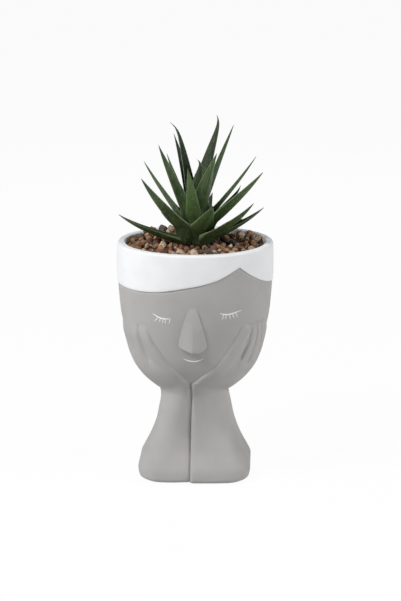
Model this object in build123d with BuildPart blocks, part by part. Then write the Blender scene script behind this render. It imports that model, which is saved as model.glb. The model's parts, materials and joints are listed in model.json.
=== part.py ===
"""Head planter: a cast bowl with a sleeping face, cupped by two hands, with gravel and a leafy plant.

Millimetres. The origin is on the floor, on the bowl's axis. +Z is up and the face looks along -Y.
"""

import os
from math import atan2, cos, hypot, radians, sin

from build123d import *

os.makedirs("parts", exist_ok=True)

# Casting: overall sizes
rim_height = 155.0
bowl_base_height = 56.0
bowl_radius = 50.0
bowl_wall = 4.8
cavity_floor_rise = 11.0
cavity_floor_height = bowl_base_height + cavity_floor_rise
rim_round = 1.5
overrun = 3.0

# The bowl's side, from its base up: share of the bowl's height, share of its radius
bowl_side_shares = [
    (0.00, 0.380),
    (0.11, 0.636),
    (0.19, 0.756),
    (0.27, 0.828),
    (0.36, 0.878),
    (0.52, 0.952),
    (0.68, 0.984),
    (0.84, 0.997),
    (1.00, 0.990),
]

# Hair band: a raised step of the casting round the rim, solid where it caps the bowl
hair_relief = 0.5
hair_cap = 4.0
hair_drop = 25.8
hair_low_height = rim_height - hair_drop
hair_peak_rise = 16.5
# The front edge of the hair, left of its peak and right of it: share of radius, share of the rise
hair_left_shares = [(-1.04, 0.00), (-0.68, 0.03), (-0.25, 0.20), (0.16, 0.46), (0.43, 0.77), (0.584, 1.00)]
hair_right_shares = [(0.584, 1.00), (0.73, 0.64), (0.90, 0.26), (1.04, 0.10)]

# Nose: a wedge of two facets. Height, half width and how far the ridge stands out at each level
nose_drop = 30.6
nose_length = 31.8
nose_wing_rise = 3.6
nose_top_height = rim_height - nose_drop
nose_tip_height = nose_top_height - nose_length
nose_wing_height = nose_tip_height + nose_wing_rise
nose_half_width = 8.8
nose_stand_out = 4.6
nose_bite = 4.0
nose_flank = 0.9
# Share of the way from the top down to the wings, share of the half width, share of the stand-out
nose_blade_shares = [(0.0, 0.08, 0.06), (0.35, 0.56, 0.24), (1.0, 1.0, 1.0)]
# The same two shares at the tip
nose_tip_shares = (0.16, 0.90)

# Hands: palms in low relief, and four fingers on each side
hand_relief = 1.4
palm_back_depth = 12.0
palm_drop = 6.0
palm_notch_rise = 13.0
palm_top_rise = 28.0
palm_low_height = bowl_base_height - palm_drop
palm_notch_height = bowl_base_height + palm_notch_rise
palm_top_height = bowl_base_height + palm_top_rise
# The palm's inner edge from the notch out: share of radius, share of the rise from notch to top
palm_edge_shares = [(0.0, 0.0), (0.11, 0.26), (0.266, 0.80), (0.324, 1.0)]
finger_radius = 7.0
# Angle round the bowl in degrees and share of the bowl's height, at root, middle and tip
finger_shares = [
    ((30.0, 0.273), (38.5, 0.389), (42.7, 0.472)),
    ((46.0, 0.250), (52.8, 0.374), (52.8, 0.490)),
    ((61.0, 0.232), (65.2, 0.364), (62.6, 0.482)),
    ((76.5, 0.222), (78.6, 0.343), (72.6, 0.464)),
]

# Forearms: two lobes side by side that carry the bowl and widen to the foot
foot_half_width = 36.8
foot_depth = 59.0
arm_overlap = 1.2
arm_bite = 8.0
arm_top_height = bowl_base_height + arm_bite
# Share of the arm's height, then shares of the foot's half width and depth, then shares of the
# half width for the outer and the inner corner rounding
arm_shares = [
    (0.000, 0.950, 0.94, 0.33, 0.10),
    (0.048, 1.000, 1.00, 0.36, 0.12),
    (0.124, 0.985, 1.00, 0.36, 0.13),
    (0.305, 0.870, 0.92, 0.36, 0.17),
    (0.495, 0.735, 0.86, 0.36, 0.21),
    (0.686, 0.640, 0.81, 0.38, 0.22),
    (0.857, 0.592, 0.79, 0.41, 0.18),
    (1.000, 0.600, 0.80, 0.44, 0.16),
]

# Underside of the foot
foot_ring_width = 14.0
foot_recess_depth = 3.0
foot_recess_round = 5.0

# Foot pads
pad_thickness = 1.0
pad_radius = 3.5
pad_inset = 10.3
pad_side_distance = foot_half_width - pad_inset
pad_front_distance = foot_depth / 2 - pad_inset

# Foam plug and glue bed inside the bowl
plug_clearance = 0.3
foam_height = 47.0
foam_drop = 8.0
foam_top_height = rim_height - foam_drop
foam_low_height = foam_top_height - foam_height
glue_thickness = 1.5

# Stem of the plant: a tapered core over a spike in the foam
core_base_radius = 4.6
core_top_radius = 1.6
core_rise = 21.0
core_top_height = rim_height + core_rise
core_seat_gap = 0.2
core_tip_round = 1.0
spike_radius = 3.0
spike_point_radius = 1.2
spike_depth = 34.0
spike_clearance = 0.3

# Gravel
gravel_clearance = 0.6
gravel_pitch = 6.0
gravel_stone_radius = 2.7
gravel_rise = 3.6
gravel_taper = 16.0
gravel_core_gap = 2.0
gravel_corner_count = 6

# Leaves
plant_reach = 50.0
plant_rise = 80.0
leaf_half_width = 6.0
leaf_thickness = 3.0
leaf_cup_share = 0.30
leaf_root_span = 20.0
tab_half_width = 0.6
tab_half_height = 0.5
tab_depth = 1.1
tab_hold = 0.9
tab_clearance = 0.05
# Along a leaf from root to tip: share of its length, of its half width and of its thickness
leaf_form_shares = [
    (0.00, 0.30, 0.60),
    (0.12, 0.66, 0.95),
    (0.30, 1.00, 1.00),
    (0.55, 0.76, 0.78),
    (0.80, 0.38, 0.50),
    (1.00, 0.06, 0.14),
]
# Each leaf: its direction and its bend in degrees, then shares of the reach, of the rise over the rim,
# of the root span up the core, of the half width and of the thickness
leaf_shares = [
    (-169.0, 24.0, 0.980, 0.224, -0.015, 0.767, 0.867),
    (-138.0, 16.0, 0.860, 0.550, 0.170, 0.967, 1.000),
    (173.0, 8.0, 0.660, 0.625, 0.400, 0.700, 0.733),
    (-145.0, 6.0, 0.540, 0.788, 0.560, 0.767, 0.800),
    (177.0, 4.0, 0.360, 0.694, 0.740, 0.483, 0.600),
    (121.0, 4.0, 0.410, 0.831, 0.660, 0.533, 0.633),
    (136.0, 2.0, 0.280, 0.912, 0.900, 0.567, 0.667),
    (-100.0, 0.0, 0.080, 0.638, 0.950, 0.333, 0.467),
    (60.0, 4.0, 0.450, 0.988, 0.880, 0.700, 0.733),
    (2.0, -4.0, 0.484, 0.925, 0.720, 0.633, 0.667),
    (12.0, 8.0, 0.786, 0.662, 0.520, 0.667, 0.733),
    (-16.0, 12.0, 0.892, 0.575, 0.320, 0.800, 0.867),
    (31.0, 10.0, 0.630, 0.438, 0.220, 0.700, 0.733),
    (-31.0, 26.0, 0.870, 0.350, 0.060, 0.833, 0.867),
    (7.0, 22.0, 0.880, 0.256, -0.015, 0.667, 0.733),
    (-94.0, 16.0, 0.390, 0.625, 0.310, 0.800, 0.833),
    (-69.0, 20.0, 0.606, 0.362, 0.150, 0.800, 0.800),
    (-64.0, 6.0, 0.380, 0.725, 0.630, 0.767, 0.767),
    (154.0, 14.0, 0.680, 0.225, 0.180, 0.633, 0.733),
    (143.0, 8.0, 0.640, 0.075, -0.050, 0.667, 0.733),
    (122.0, 10.0, 0.500, 0.462, 0.340, 0.667, 0.733),
    (105.0, 16.0, 0.760, 0.188, 0.050, 0.700, 0.733),
    (74.0, 16.0, 0.720, 0.312, 0.130, 0.700, 0.733),
    (70.0, 10.0, 0.500, 0.525, 0.520, 0.650, 0.733),
    (43.0, 14.0, 0.820, 0.112, -0.050, 0.667, 0.733),
]


def bowl_points(inset):
    """Points up the bowl's side, moved in towards the axis by inset."""
    height = rim_height - bowl_base_height
    return [
        (bowl_radius * radius_share - inset, bowl_base_height + height * height_share)
        for height_share, radius_share in bowl_side_shares
    ]


def bowl_radius_at(height_share):
    """The bowl's radius at a share of its height, straight between the side's points."""
    for (low, low_radius), (high, high_radius) in zip(bowl_side_shares, bowl_side_shares[1:]):
        if height_share <= high:
            along = (height_share - low) / (high - low)
            return bowl_radius * (low_radius + (high_radius - low_radius) * along)
    return bowl_radius * bowl_side_shares[-1][1]


def turned_bowl(inset, low_height, high_height):
    """The bowl's form turned solid, moved in by inset and kept between two heights."""
    with BuildPart() as turned:
        with BuildSketch(Plane.XZ):
            with BuildLine():
                side = Spline(*bowl_points(inset))
                above = (side @ 1) + (0, overrun)
                Polyline(side @ 1, above, (0, above.Y), (0, bowl_base_height), side @ 0)
            make_face()
        revolve(axis=Axis.Z)
        split(bisect_by=Plane.XY.offset(low_height), keep=Keep.TOP)
        split(bisect_by=Plane.XY.offset(high_height), keep=Keep.BOTTOM)
    return turned.part


def hair_points(line_shares):
    """Points of the hair's front edge, seen from the front, as width and height."""
    return [(bowl_radius * x, hair_low_height + hair_peak_rise * rise) for x, rise in line_shares]


# Hair band, and the bare bowl that ends inside its cap
bowl_outside = turned_bowl(0, bowl_base_height, rim_height - hair_cap)
with BuildPart() as hair_band:
    add(turned_bowl(-hair_relief, hair_low_height, rim_height))
    with BuildSketch(Plane.XZ) as forehead:
        with BuildLine():
            left_line = Spline(*hair_points(hair_left_shares))
            right_line = Spline(*hair_points(hair_right_shares))
            Polyline(
                right_line @ 1,
                ((right_line @ 1).X, hair_low_height - overrun),
                ((left_line @ 0).X, hair_low_height - overrun),
                left_line @ 0,
            )
        make_face()
    extrude(amount=bowl_radius + overrun, mode=Mode.SUBTRACT)

# Palms: both at once, as a skin on the lower bowl
with BuildPart() as palms:
    add(turned_bowl(-hand_relief, bowl_base_height, palm_top_height + overrun))
    palm_rise = palm_top_height - palm_notch_height
    with BuildSketch(Plane.XZ.offset(-palm_back_depth)) as palm_outline:
        with BuildLine():
            edge = Spline(
                *[(bowl_radius * x, palm_notch_height + palm_rise * rise) for x, rise in palm_edge_shares]
            )
            Polyline(
                edge @ 1,
                (bowl_radius + overrun, palm_top_height),
                (bowl_radius + overrun, palm_low_height),
                (0, palm_low_height),
                edge @ 0,
            )
        make_face()
        mirror(about=Plane.YZ)
    extrude(amount=bowl_radius + palm_back_depth + overrun, mode=Mode.INTERSECT)


def bowl_spot(angle, height_share, inset):
    """A point at an angle round the bowl from the face's centre, inset into its wall."""
    radius = bowl_radius_at(height_share) - inset
    height = bowl_base_height + (rim_height - bowl_base_height) * height_share
    return (radius * sin(radians(angle)), -radius * cos(radians(angle)), height)


# Fingers of the right hand, each a bent round rod with a domed tip
finger_inset = finger_radius - hand_relief
fingers = []
for root_share, middle_share, tip_share in finger_shares:
    with BuildPart() as finger:
        with BuildLine() as finger_line:
            bend = ThreePointArc(
                bowl_spot(*root_share, finger_inset),
                bowl_spot(*middle_share, finger_inset),
                bowl_spot(*tip_share, finger_inset),
            )
        with BuildSketch(Plane(origin=bend @ 0, z_dir=bend % 0)):
            Circle(finger_radius)
        sweep()
        with Locations(bend @ 1):
            Sphere(finger_radius)
    fingers.append(finger.part)

# Nose
nose_fall = nose_top_height - nose_wing_height
nose_levels = [(nose_top_height - nose_fall * fall, width, out) for fall, width, out in nose_blade_shares]
nose_levels.append((nose_tip_height, *nose_tip_shares))
with BuildPart() as nose:
    for level, width_share, out_share in nose_levels:
        face_radius = bowl_radius_at((level - bowl_base_height) / (rim_height - bowl_base_height))
        half_width = nose_half_width * width_share
        flank = -face_radius + nose_flank * width_share
        with BuildSketch(Plane.XY.offset(level)):
            Polygon(
                (-half_width, -face_radius + nose_bite),
                (half_width, -face_radius + nose_bite),
                (half_width, flank),
                (0, -face_radius - nose_stand_out * out_share),
                (-half_width, flank),
                align=None,
            )
    loft(ruled=True)

# One forearm, on the right
with BuildPart() as forearm:
    arm_height = arm_top_height - pad_thickness
    for height_share, width_share, depth_share, outer_share, inner_share in arm_shares:
        lobe_width = foot_half_width * width_share
        with BuildSketch(Plane.XY.offset(pad_thickness + arm_height * height_share)) as lobe:
            with Locations((lobe_width / 2 - arm_overlap / 2, 0)):
                Rectangle(lobe_width + arm_overlap, foot_depth * depth_share)
            fillet(lobe.vertices().group_by(Axis.X)[-1], foot_half_width * outer_share)
            fillet(lobe.vertices().group_by(Axis.X)[0], foot_half_width * inner_share)
    loft()

# Pot: one casting
with BuildPart() as pot:
    add(bowl_outside)
    add(palms.part)
    add(fingers)
    add([finger.mirror(Plane.YZ) for finger in fingers])
    add(nose.part)
    add(hair_band.part)
    add(forearm.part)
    add(forearm.part.mirror(Plane.YZ))
    add(turned_bowl(bowl_wall, cavity_floor_height, rim_height + overrun), mode=Mode.SUBTRACT)
    fillet(pot.edges().group_by(Axis.Z)[-1], rim_round)
    with BuildSketch(Plane.XY.offset(pad_thickness)):
        RectangleRounded(
            2 * (foot_half_width - foot_ring_width), foot_depth - 2 * foot_ring_width, foot_recess_round
        )
    extrude(amount=foot_recess_depth, mode=Mode.SUBTRACT)
pot.part.label = "pot"
export_step(pot.part, "parts/pot.step")

# Foot pads
with BuildPart() as foot_pads:
    with BuildSketch(Plane.XY):
        with GridLocations(2 * pad_side_distance, 2 * pad_front_distance, 2, 2):
            Circle(pad_radius)
    extrude(amount=pad_thickness)
foot_pads.part.label = "foot_pads"
export_step(foot_pads.part, "parts/foot_pads.step")

# Foam plug, with a blind hole for the plant's spike
plug_inset = bowl_wall + plug_clearance
hole_radius = spike_radius + spike_clearance
hole_depth = spike_depth + spike_clearance
with BuildPart() as foam_plug:
    add(turned_bowl(plug_inset, foam_low_height, foam_top_height))
    with BuildSketch(Plane.XY.offset(foam_top_height)):
        Circle(hole_radius)
    extrude(amount=-hole_depth, mode=Mode.SUBTRACT)
foam_plug.part.label = "foam_plug"
export_step(foam_plug.part, "parts/foam_plug.step")

# Glue bed, a thin ring on the foam
glue_top_height = foam_top_height + glue_thickness
with BuildPart() as glue_bed:
    add(turned_bowl(plug_inset, foam_top_height, glue_top_height))
    with BuildSketch(Plane.XY.offset(foam_top_height)):
        Circle(core_base_radius + spike_clearance)
    extrude(amount=glue_thickness, mode=Mode.SUBTRACT)
glue_bed.part.label = "glue_bed"
export_step(glue_bed.part, "parts/glue_bed.step")


def stone_places():
    """The stones' centres, ring by ring from the stem to the wall, each with a turn in degrees."""
    inner = core_base_radius + gravel_core_gap + gravel_stone_radius
    outer = bowl_radius - bowl_wall - gravel_clearance - gravel_stone_radius
    ring_count = int((outer - inner) / gravel_pitch)
    ring_step = (outer - inner) / ring_count
    places = []
    for ring in range(ring_count + 1):
        radius = inner + ring * ring_step
        count = int(radians(360) * radius / gravel_pitch)
        for number in range(count):
            angle = 360 * (number + ring * 0.37) / count
            places.append((radius * cos(radians(angle)), radius * sin(radians(angle)), angle * 1.7))
    return places


def gravel_group(first, step, rise_share):
    """Every step-th stone from the first, as one group of separate tapered stones."""
    with BuildPart() as group:
        with BuildSketch(Plane.XY.offset(glue_top_height)):
            for number, (x, y, turn) in enumerate(stone_places()):
                if (number * 7 + number // 3) % step != first:
                    continue
                corners = []
                for corner in range(gravel_corner_count):
                    angle = radians(turn + 360 * corner / gravel_corner_count)
                    share = 0.88 + 0.12 * sin(2.3 * number + 1.9 * corner)
                    reach = gravel_stone_radius * share
                    corners.append((reach * cos(angle), reach * sin(angle)))
                with Locations((x, y)):
                    Polygon(*corners, align=None)
        extrude(amount=gravel_rise * rise_share, taper=gravel_taper)
    return group.part


gravel_rise_shares = {"gravel_tan": 0.92, "gravel_rust": 0.80, "gravel_dark": 0.72, "gravel_cream": 1.0}
for number, (name, rise_share) in enumerate(gravel_rise_shares.items()):
    stones = gravel_group(number, len(gravel_rise_shares), rise_share)
    stones.label = name
    export_step(stones, f"parts/{name}.step")

# Stem: core over a spike, solid before its slots are cut
core_low_height = foam_top_height + core_seat_gap
core_height = core_top_height - core_low_height
with BuildPart() as stem:
    with BuildSketch(Plane.XZ):
        with BuildLine():
            Polyline(
                (0, foam_top_height - spike_depth),
                (spike_point_radius, foam_top_height - spike_depth),
                (spike_radius, foam_top_height - spike_depth + spike_radius),
                (spike_radius, core_low_height),
                (core_base_radius, core_low_height),
                (core_top_radius, core_top_height),
                (0, core_top_height),
                close=True,
            )
        make_face()
    revolve(axis=Axis.Z)
    fillet(stem.edges().group_by(Axis.Z)[-1], core_tip_round)


def core_radius_at(height):
    """The stem's radius at a height."""
    share = min(max((height - core_low_height) / core_height, 0), 1)
    return core_base_radius + (core_top_radius - core_base_radius) * share


class LeafLine:
    """A leaf's middle line: one circular arc in the upright plane of its direction."""

    def __init__(self, direction, bend, reach_share, rise_share, root_share, width_share, thick_share):
        self.direction = radians(direction)
        self.half_width = leaf_half_width * width_share
        self.thickness = leaf_thickness * thick_share
        self.root_height = rim_height + leaf_root_span * root_share
        self.root_radius = core_radius_at(self.root_height)
        out = plant_reach * reach_share - self.root_radius
        up = rim_height + plant_rise * rise_share - self.root_height
        self.slope = atan2(up, out) - radians(bend) / 2
        self.turn = radians(bend)
        chord = hypot(out, up)
        self.length = chord * (self.turn / 2) / sin(self.turn / 2) if bend else chord

    def plane_at(self, share):
        """The plane square to the line at a share of its length: X across the leaf, Y out of its face."""
        slope = self.slope + self.turn * share
        if self.turn:
            out = self.length * (sin(slope) - sin(self.slope)) / self.turn
            up = self.length * (cos(self.slope) - cos(slope)) / self.turn
        else:
            out = self.length * share * cos(slope)
            up = self.length * share * sin(slope)
        radius = self.root_radius + out
        ahead = Vector(cos(self.direction), sin(self.direction), 0)
        across = Vector(-sin(self.direction), cos(self.direction), 0)
        along = ahead * cos(slope) + Vector(0, 0, sin(slope))
        origin = ahead * radius + Vector(0, 0, self.root_height + up)
        return Plane(origin=origin, x_dir=across, z_dir=-along)

    def tab(self, clearance):
        """The root tab, a small flat bar that points at the stem's axis, grown by clearance."""
        root = self.plane_at(0).origin
        drop = self.thickness * leaf_form_shares[0][2] / 2
        ahead = Vector(cos(self.direction), sin(self.direction), 0)
        middle = root + ahead * (drop * sin(self.slope)) - Vector(0, 0, drop * cos(self.slope))
        start = middle + ahead * (tab_hold + clearance)
        with BuildPart() as bar:
            with BuildSketch(Plane(origin=start, x_dir=(-ahead.Y, ahead.X, 0), z_dir=-ahead)):
                Rectangle(2 * (tab_half_width + clearance), 2 * (tab_half_height + clearance))
            extrude(amount=tab_hold + tab_depth + 2 * clearance + drop * sin(self.slope))
        return bar.part


def leaf_solid(line):
    """One leaf: crescent sections lofted along its line, trimmed at the stem, with its root tab."""
    with BuildPart() as blade:
        for share, width_share, thick_share in leaf_form_shares:
            half = line.half_width * width_share
            thick = line.thickness * thick_share
            cup = half * leaf_cup_share
            with BuildSketch(line.plane_at(share)):
                with BuildLine():
                    ThreePointArc((-half, -cup), (0, 0), (half, -cup))
                    ThreePointArc((half, -cup), (0, thick), (-half, -cup))
                make_face()
        loft()
        add(stem.part, mode=Mode.SUBTRACT)
        add(line.tab(0))
    return blade.part


leaf_lines = [LeafLine(*shares) for shares in leaf_shares]
for number, line in enumerate(leaf_lines, start=1):
    leaf = leaf_solid(line)
    leaf.label = f"leaf_{number:02d}"
    export_step(leaf, f"parts/leaf_{number:02d}.step")

with BuildPart() as crown_core:
    add(stem.part)
    for line in leaf_lines:
        add(line.tab(tab_clearance), mode=Mode.SUBTRACT)
crown_core.part.label = "crown_core"
export_step(crown_core.part, "parts/crown_core.step")
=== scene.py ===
"""Looks of the head planter: cast pot, hair band, nose, hands, painted lines, gravel and leaves.

Sizes are millimetres and are turned into metres where a mesh is made. +Z is up and the face looks
along -Y. A place on the bowl is an angle in degrees from the middle of the face, growing towards +X,
and a height over the floor.
"""

import json
import logging
import math
from dataclasses import dataclass, field
from enum import Enum

import bpy
import numpy as np
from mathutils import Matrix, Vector
from numpy.typing import NDArray

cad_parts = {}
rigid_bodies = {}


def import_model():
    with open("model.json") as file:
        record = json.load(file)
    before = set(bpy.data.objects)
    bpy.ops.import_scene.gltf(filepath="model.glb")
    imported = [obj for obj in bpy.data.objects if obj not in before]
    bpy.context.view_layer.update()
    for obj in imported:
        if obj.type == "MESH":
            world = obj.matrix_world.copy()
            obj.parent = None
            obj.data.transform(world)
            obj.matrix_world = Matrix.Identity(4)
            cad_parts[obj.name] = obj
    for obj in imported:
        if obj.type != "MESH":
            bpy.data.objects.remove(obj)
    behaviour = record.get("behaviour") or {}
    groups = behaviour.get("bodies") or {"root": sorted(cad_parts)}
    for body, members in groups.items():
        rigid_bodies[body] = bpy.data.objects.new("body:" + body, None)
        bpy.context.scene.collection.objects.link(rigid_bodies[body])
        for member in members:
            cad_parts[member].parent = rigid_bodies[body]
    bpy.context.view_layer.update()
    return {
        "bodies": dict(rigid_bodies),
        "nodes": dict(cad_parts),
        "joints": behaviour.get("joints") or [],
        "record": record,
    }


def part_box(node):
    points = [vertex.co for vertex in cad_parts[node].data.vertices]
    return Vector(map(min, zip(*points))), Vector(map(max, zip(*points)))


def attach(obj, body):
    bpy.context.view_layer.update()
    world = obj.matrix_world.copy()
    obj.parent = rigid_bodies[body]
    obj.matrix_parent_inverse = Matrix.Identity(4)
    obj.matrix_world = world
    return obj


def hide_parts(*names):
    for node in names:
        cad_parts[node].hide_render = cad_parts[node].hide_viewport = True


Array = NDArray[np.float64]
Knots = tuple[tuple[float, float], ...]
Range = tuple[float, float]
Colour = tuple[float, float, float]
Socket = bpy.types.NodeSocket
Material = bpy.types.Material
Piece = bpy.types.Object

log = logging.getLogger("head_planter")
METRES_PER_MM = 0.001
PHOTO_WIDTH = 401
PHOTO_HEIGHT = 601
SEED = 7
# Soft noise lies between these values nearly everywhere
NOISE_RANGE = (0.3, 0.7)
# Between the gravel and the cavity's wall, in millimetres
GRAVEL_GAP = 0.5
# In metres
LAMP_TARGET = Vector((0.0, 0.0, 0.1))


class Slot(Enum):
    """The record's material slots, named along with the new pieces; the pieces' finishes come from their own
    materials.
    """

    CASTING = "painted_casting"
    LEAF = "leaf"
    STONE_TAN = "stone_tan"
    STONE_RUST = "stone_rust"
    STONE_DARK = "stone_dark"
    STONE_CREAM = "stone_cream"


class Body(Enum):
    """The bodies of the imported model."""

    POT = "pot"
    INSERT = "insert"
    PLANT = "plant"


def ease(low: float | Array, high: float | Array, value: Array) -> Array:
    """A smooth step: 0 at low, 1 at high, with level ends, as 3t^2 - 2t^3.

    Args:
        low: Value where the step starts.
        high: Value where the step ends; it may be under low for a falling step.
        value: Values to map.

    Returns:
        The step's height at each value.
    """
    t = np.clip((value - low) / (high - low), 0.0, 1.0)
    return t * t * (3.0 - 2.0 * t)


def bell(distance: Array, spread: float) -> Array:
    """A bell curve that is 1 in its middle: exp(-(d/s)^2)."""
    return np.exp(-((distance / spread) ** 2))


def soft_size(share: Array, rounding: float) -> Array:
    """The size of a share from -1 to 1, rounded at 0: (sqrt(u^2 + r^2) - r) / (sqrt(1 + r^2) - r)."""
    return (np.sqrt(share**2 + rounding**2) - rounding) / (math.sqrt(1.0 + rounding**2) - rounding)


def curve(knots: Knots, at: Array) -> Array:
    """A smooth line through knots: a cubic between neighbours, with each knot's slope from its two sides.

    Args:
        knots: Pairs of place and value, in rising order of place.
        at: Places to read.

    Returns:
        The value at each place; past the ends it stays level.
    """
    places, values = np.array(knots, dtype=float).T
    slopes = np.gradient(values, places)
    at = np.clip(at, places[0], places[-1])
    span = np.clip(np.searchsorted(places, at, side="right") - 1, 0, len(places) - 2)
    width = places[span + 1] - places[span]
    t = (at - places[span]) / width
    start, end = values[span], values[span + 1]
    rise_start, rise_end = slopes[span] * width, slopes[span + 1] * width
    return (
        start * (2 * t**3 - 3 * t**2 + 1)
        + rise_start * (t**3 - 2 * t**2 + t)
        + end * (3 * t**2 - 2 * t**3)
        + rise_end * (t**3 - t**2)
    )


def walk(line: Knots, share: Array) -> tuple[Array, Array]:
    """Goes along a line on the bowl, with its knots taken as evenly spread.

    Args:
        line: The line's knots, as angle and height.
        share: Shares of the way along it.

    Returns:
        The angles and the heights there.
    """
    steps = np.linspace(0.0, 1.0, len(line))
    angles, heights = (curve(tuple(zip(steps, values)), share) for values in zip(*line))
    return angles, heights


def soft_max(fields: list[Array], sharpness: float) -> Array:
    """The larger of several fields, rounded where they cross: log of the summed exponentials.

    Args:
        fields: Fields of one shape.
        sharpness: How tightly the crossings are rounded, per millimetre.

    Returns:
        The joined field, less the lift that level ground would get.
    """
    total = sum(np.exp(sharpness * layer) for layer in fields)
    return np.log(total / len(fields)) / sharpness


def drawn_in(rings: Array, share: float) -> Array:
    """Rings of points drawn in towards the axis."""
    return rings * np.array([share, share, 1.0])


def unit(vectors: Array) -> Array:
    """Vectors of length one."""
    return vectors / np.linalg.norm(vectors, axis=-1, keepdims=True)


@dataclass
class Skin:
    """A closed mesh put together from rings of points, with values carried on its points."""

    points: list[Array] = field(default_factory=list)
    faces: list[NDArray[np.int64]] = field(default_factory=list)
    values: dict[str, list[Array]] = field(default_factory=dict)
    count: int = 0

    def tube(self, rings: Array, closed_rows: bool = False, **values: Array) -> None:
        """Adds a skin over rings: quads between neighbours, and a fan of triangles at each open end.

        Args:
            rings: Points as rows, columns and 3; each row is a closed ring.
            closed_rows: True where the last row joins the first, as on a ring-shaped piece.
            **values: Named values of one number per point, as rows and columns.
        """
        rows, columns, _ = rings.shape
        index = np.arange(rows * columns).reshape(rows, columns)
        low = index if closed_rows else index[:-1]
        high = np.roll(index, -1, axis=0) if closed_rows else index[1:]
        quads = np.stack([low, np.roll(low, -1, 1), np.roll(high, -1, 1), high], axis=-1).reshape(-1, 4)
        points = rings.reshape(-1, 3)
        carried = {name: value.reshape(-1) for name, value in values.items()}
        faces = [quads]
        if not closed_rows:
            ends = np.stack([rings[0].mean(axis=0), rings[-1].mean(axis=0)])
            first, last = rows * columns, rows * columns + 1
            points = np.concatenate([points, ends])
            carried = {
                name: np.append(value, [values[name][0].mean(), values[name][-1].mean()])
                for name, value in carried.items()
            }
            bottom, top = index[0], index[-1]
            faces.append(np.stack([np.full(columns, first), np.roll(bottom, -1), bottom], axis=-1))
            faces.append(np.stack([np.full(columns, last), top, np.roll(top, -1)], axis=-1))
        self.add(points, faces, carried)

    def add(self, points: Array, faces: list[NDArray[np.int64]], values: dict[str, Array]) -> None:
        """Adds points and faces, turned so that the closed form's volume is positive.

        Args:
            points: Points as count and 3.
            faces: Face arrays, each of one corner count.
            values: Named values of one number per point.
        """
        fans = [face[:, [0, k, k + 1]] for face in faces for k in range(1, face.shape[1] - 1)]
        corner = points[np.concatenate(fans)]
        volume = np.einsum("ij,ij->i", corner[:, 0], np.cross(corner[:, 1], corner[:, 2])).sum()
        for face in faces:
            self.faces.append((face if volume > 0 else face[:, ::-1]) + self.count)
        self.points.append(points)
        for name, value in values.items():
            self.values.setdefault(name, []).append(value)
        self.count += len(points)

    def build(self, name: str, smooth: bool = True) -> Piece:
        """Makes the object, at the origin, with its place in its mesh.

        Args:
            name: The piece's name.
            smooth: True for smooth shading.

        Returns:
            The new object.
        """
        points = np.concatenate(self.points) * METRES_PER_MM
        corners = np.concatenate([face.reshape(-1) for face in self.faces])
        sizes = np.concatenate([np.full(len(face), face.shape[1]) for face in self.faces])
        mesh = bpy.data.meshes.new(name)
        mesh.vertices.add(len(points))
        mesh.vertices.foreach_set("co", points.astype(np.float32).ravel())
        mesh.loops.add(len(corners))
        mesh.loops.foreach_set("vertex_index", corners.astype(np.int32))
        mesh.polygons.add(len(sizes))
        mesh.polygons.foreach_set("loop_start", (np.cumsum(sizes) - sizes).astype(np.int32))
        mesh.polygons.foreach_set("use_smooth", np.full(len(sizes), smooth))
        for label, value in self.values.items():
            layer = mesh.attributes.new(label, "FLOAT", "POINT")
            layer.data.foreach_set("value", np.concatenate(value).astype(np.float32))
        mesh.update(calc_edges=True)
        mesh.validate()
        piece = bpy.data.objects.new(name, mesh)
        bpy.context.scene.collection.objects.link(piece)
        return piece


def finish_piece(piece: Piece, material: Material, body: Body, slot: Slot, *nodes: str) -> Piece:
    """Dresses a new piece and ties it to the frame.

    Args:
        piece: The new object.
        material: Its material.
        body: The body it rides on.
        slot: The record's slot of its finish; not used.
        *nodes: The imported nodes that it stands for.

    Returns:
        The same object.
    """
    piece.data.materials.append(material)
    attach(piece, body.value)
    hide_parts(*nodes)
    log.info("%s: %d faces", piece.name, len(piece.data.polygons))
    return piece


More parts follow.
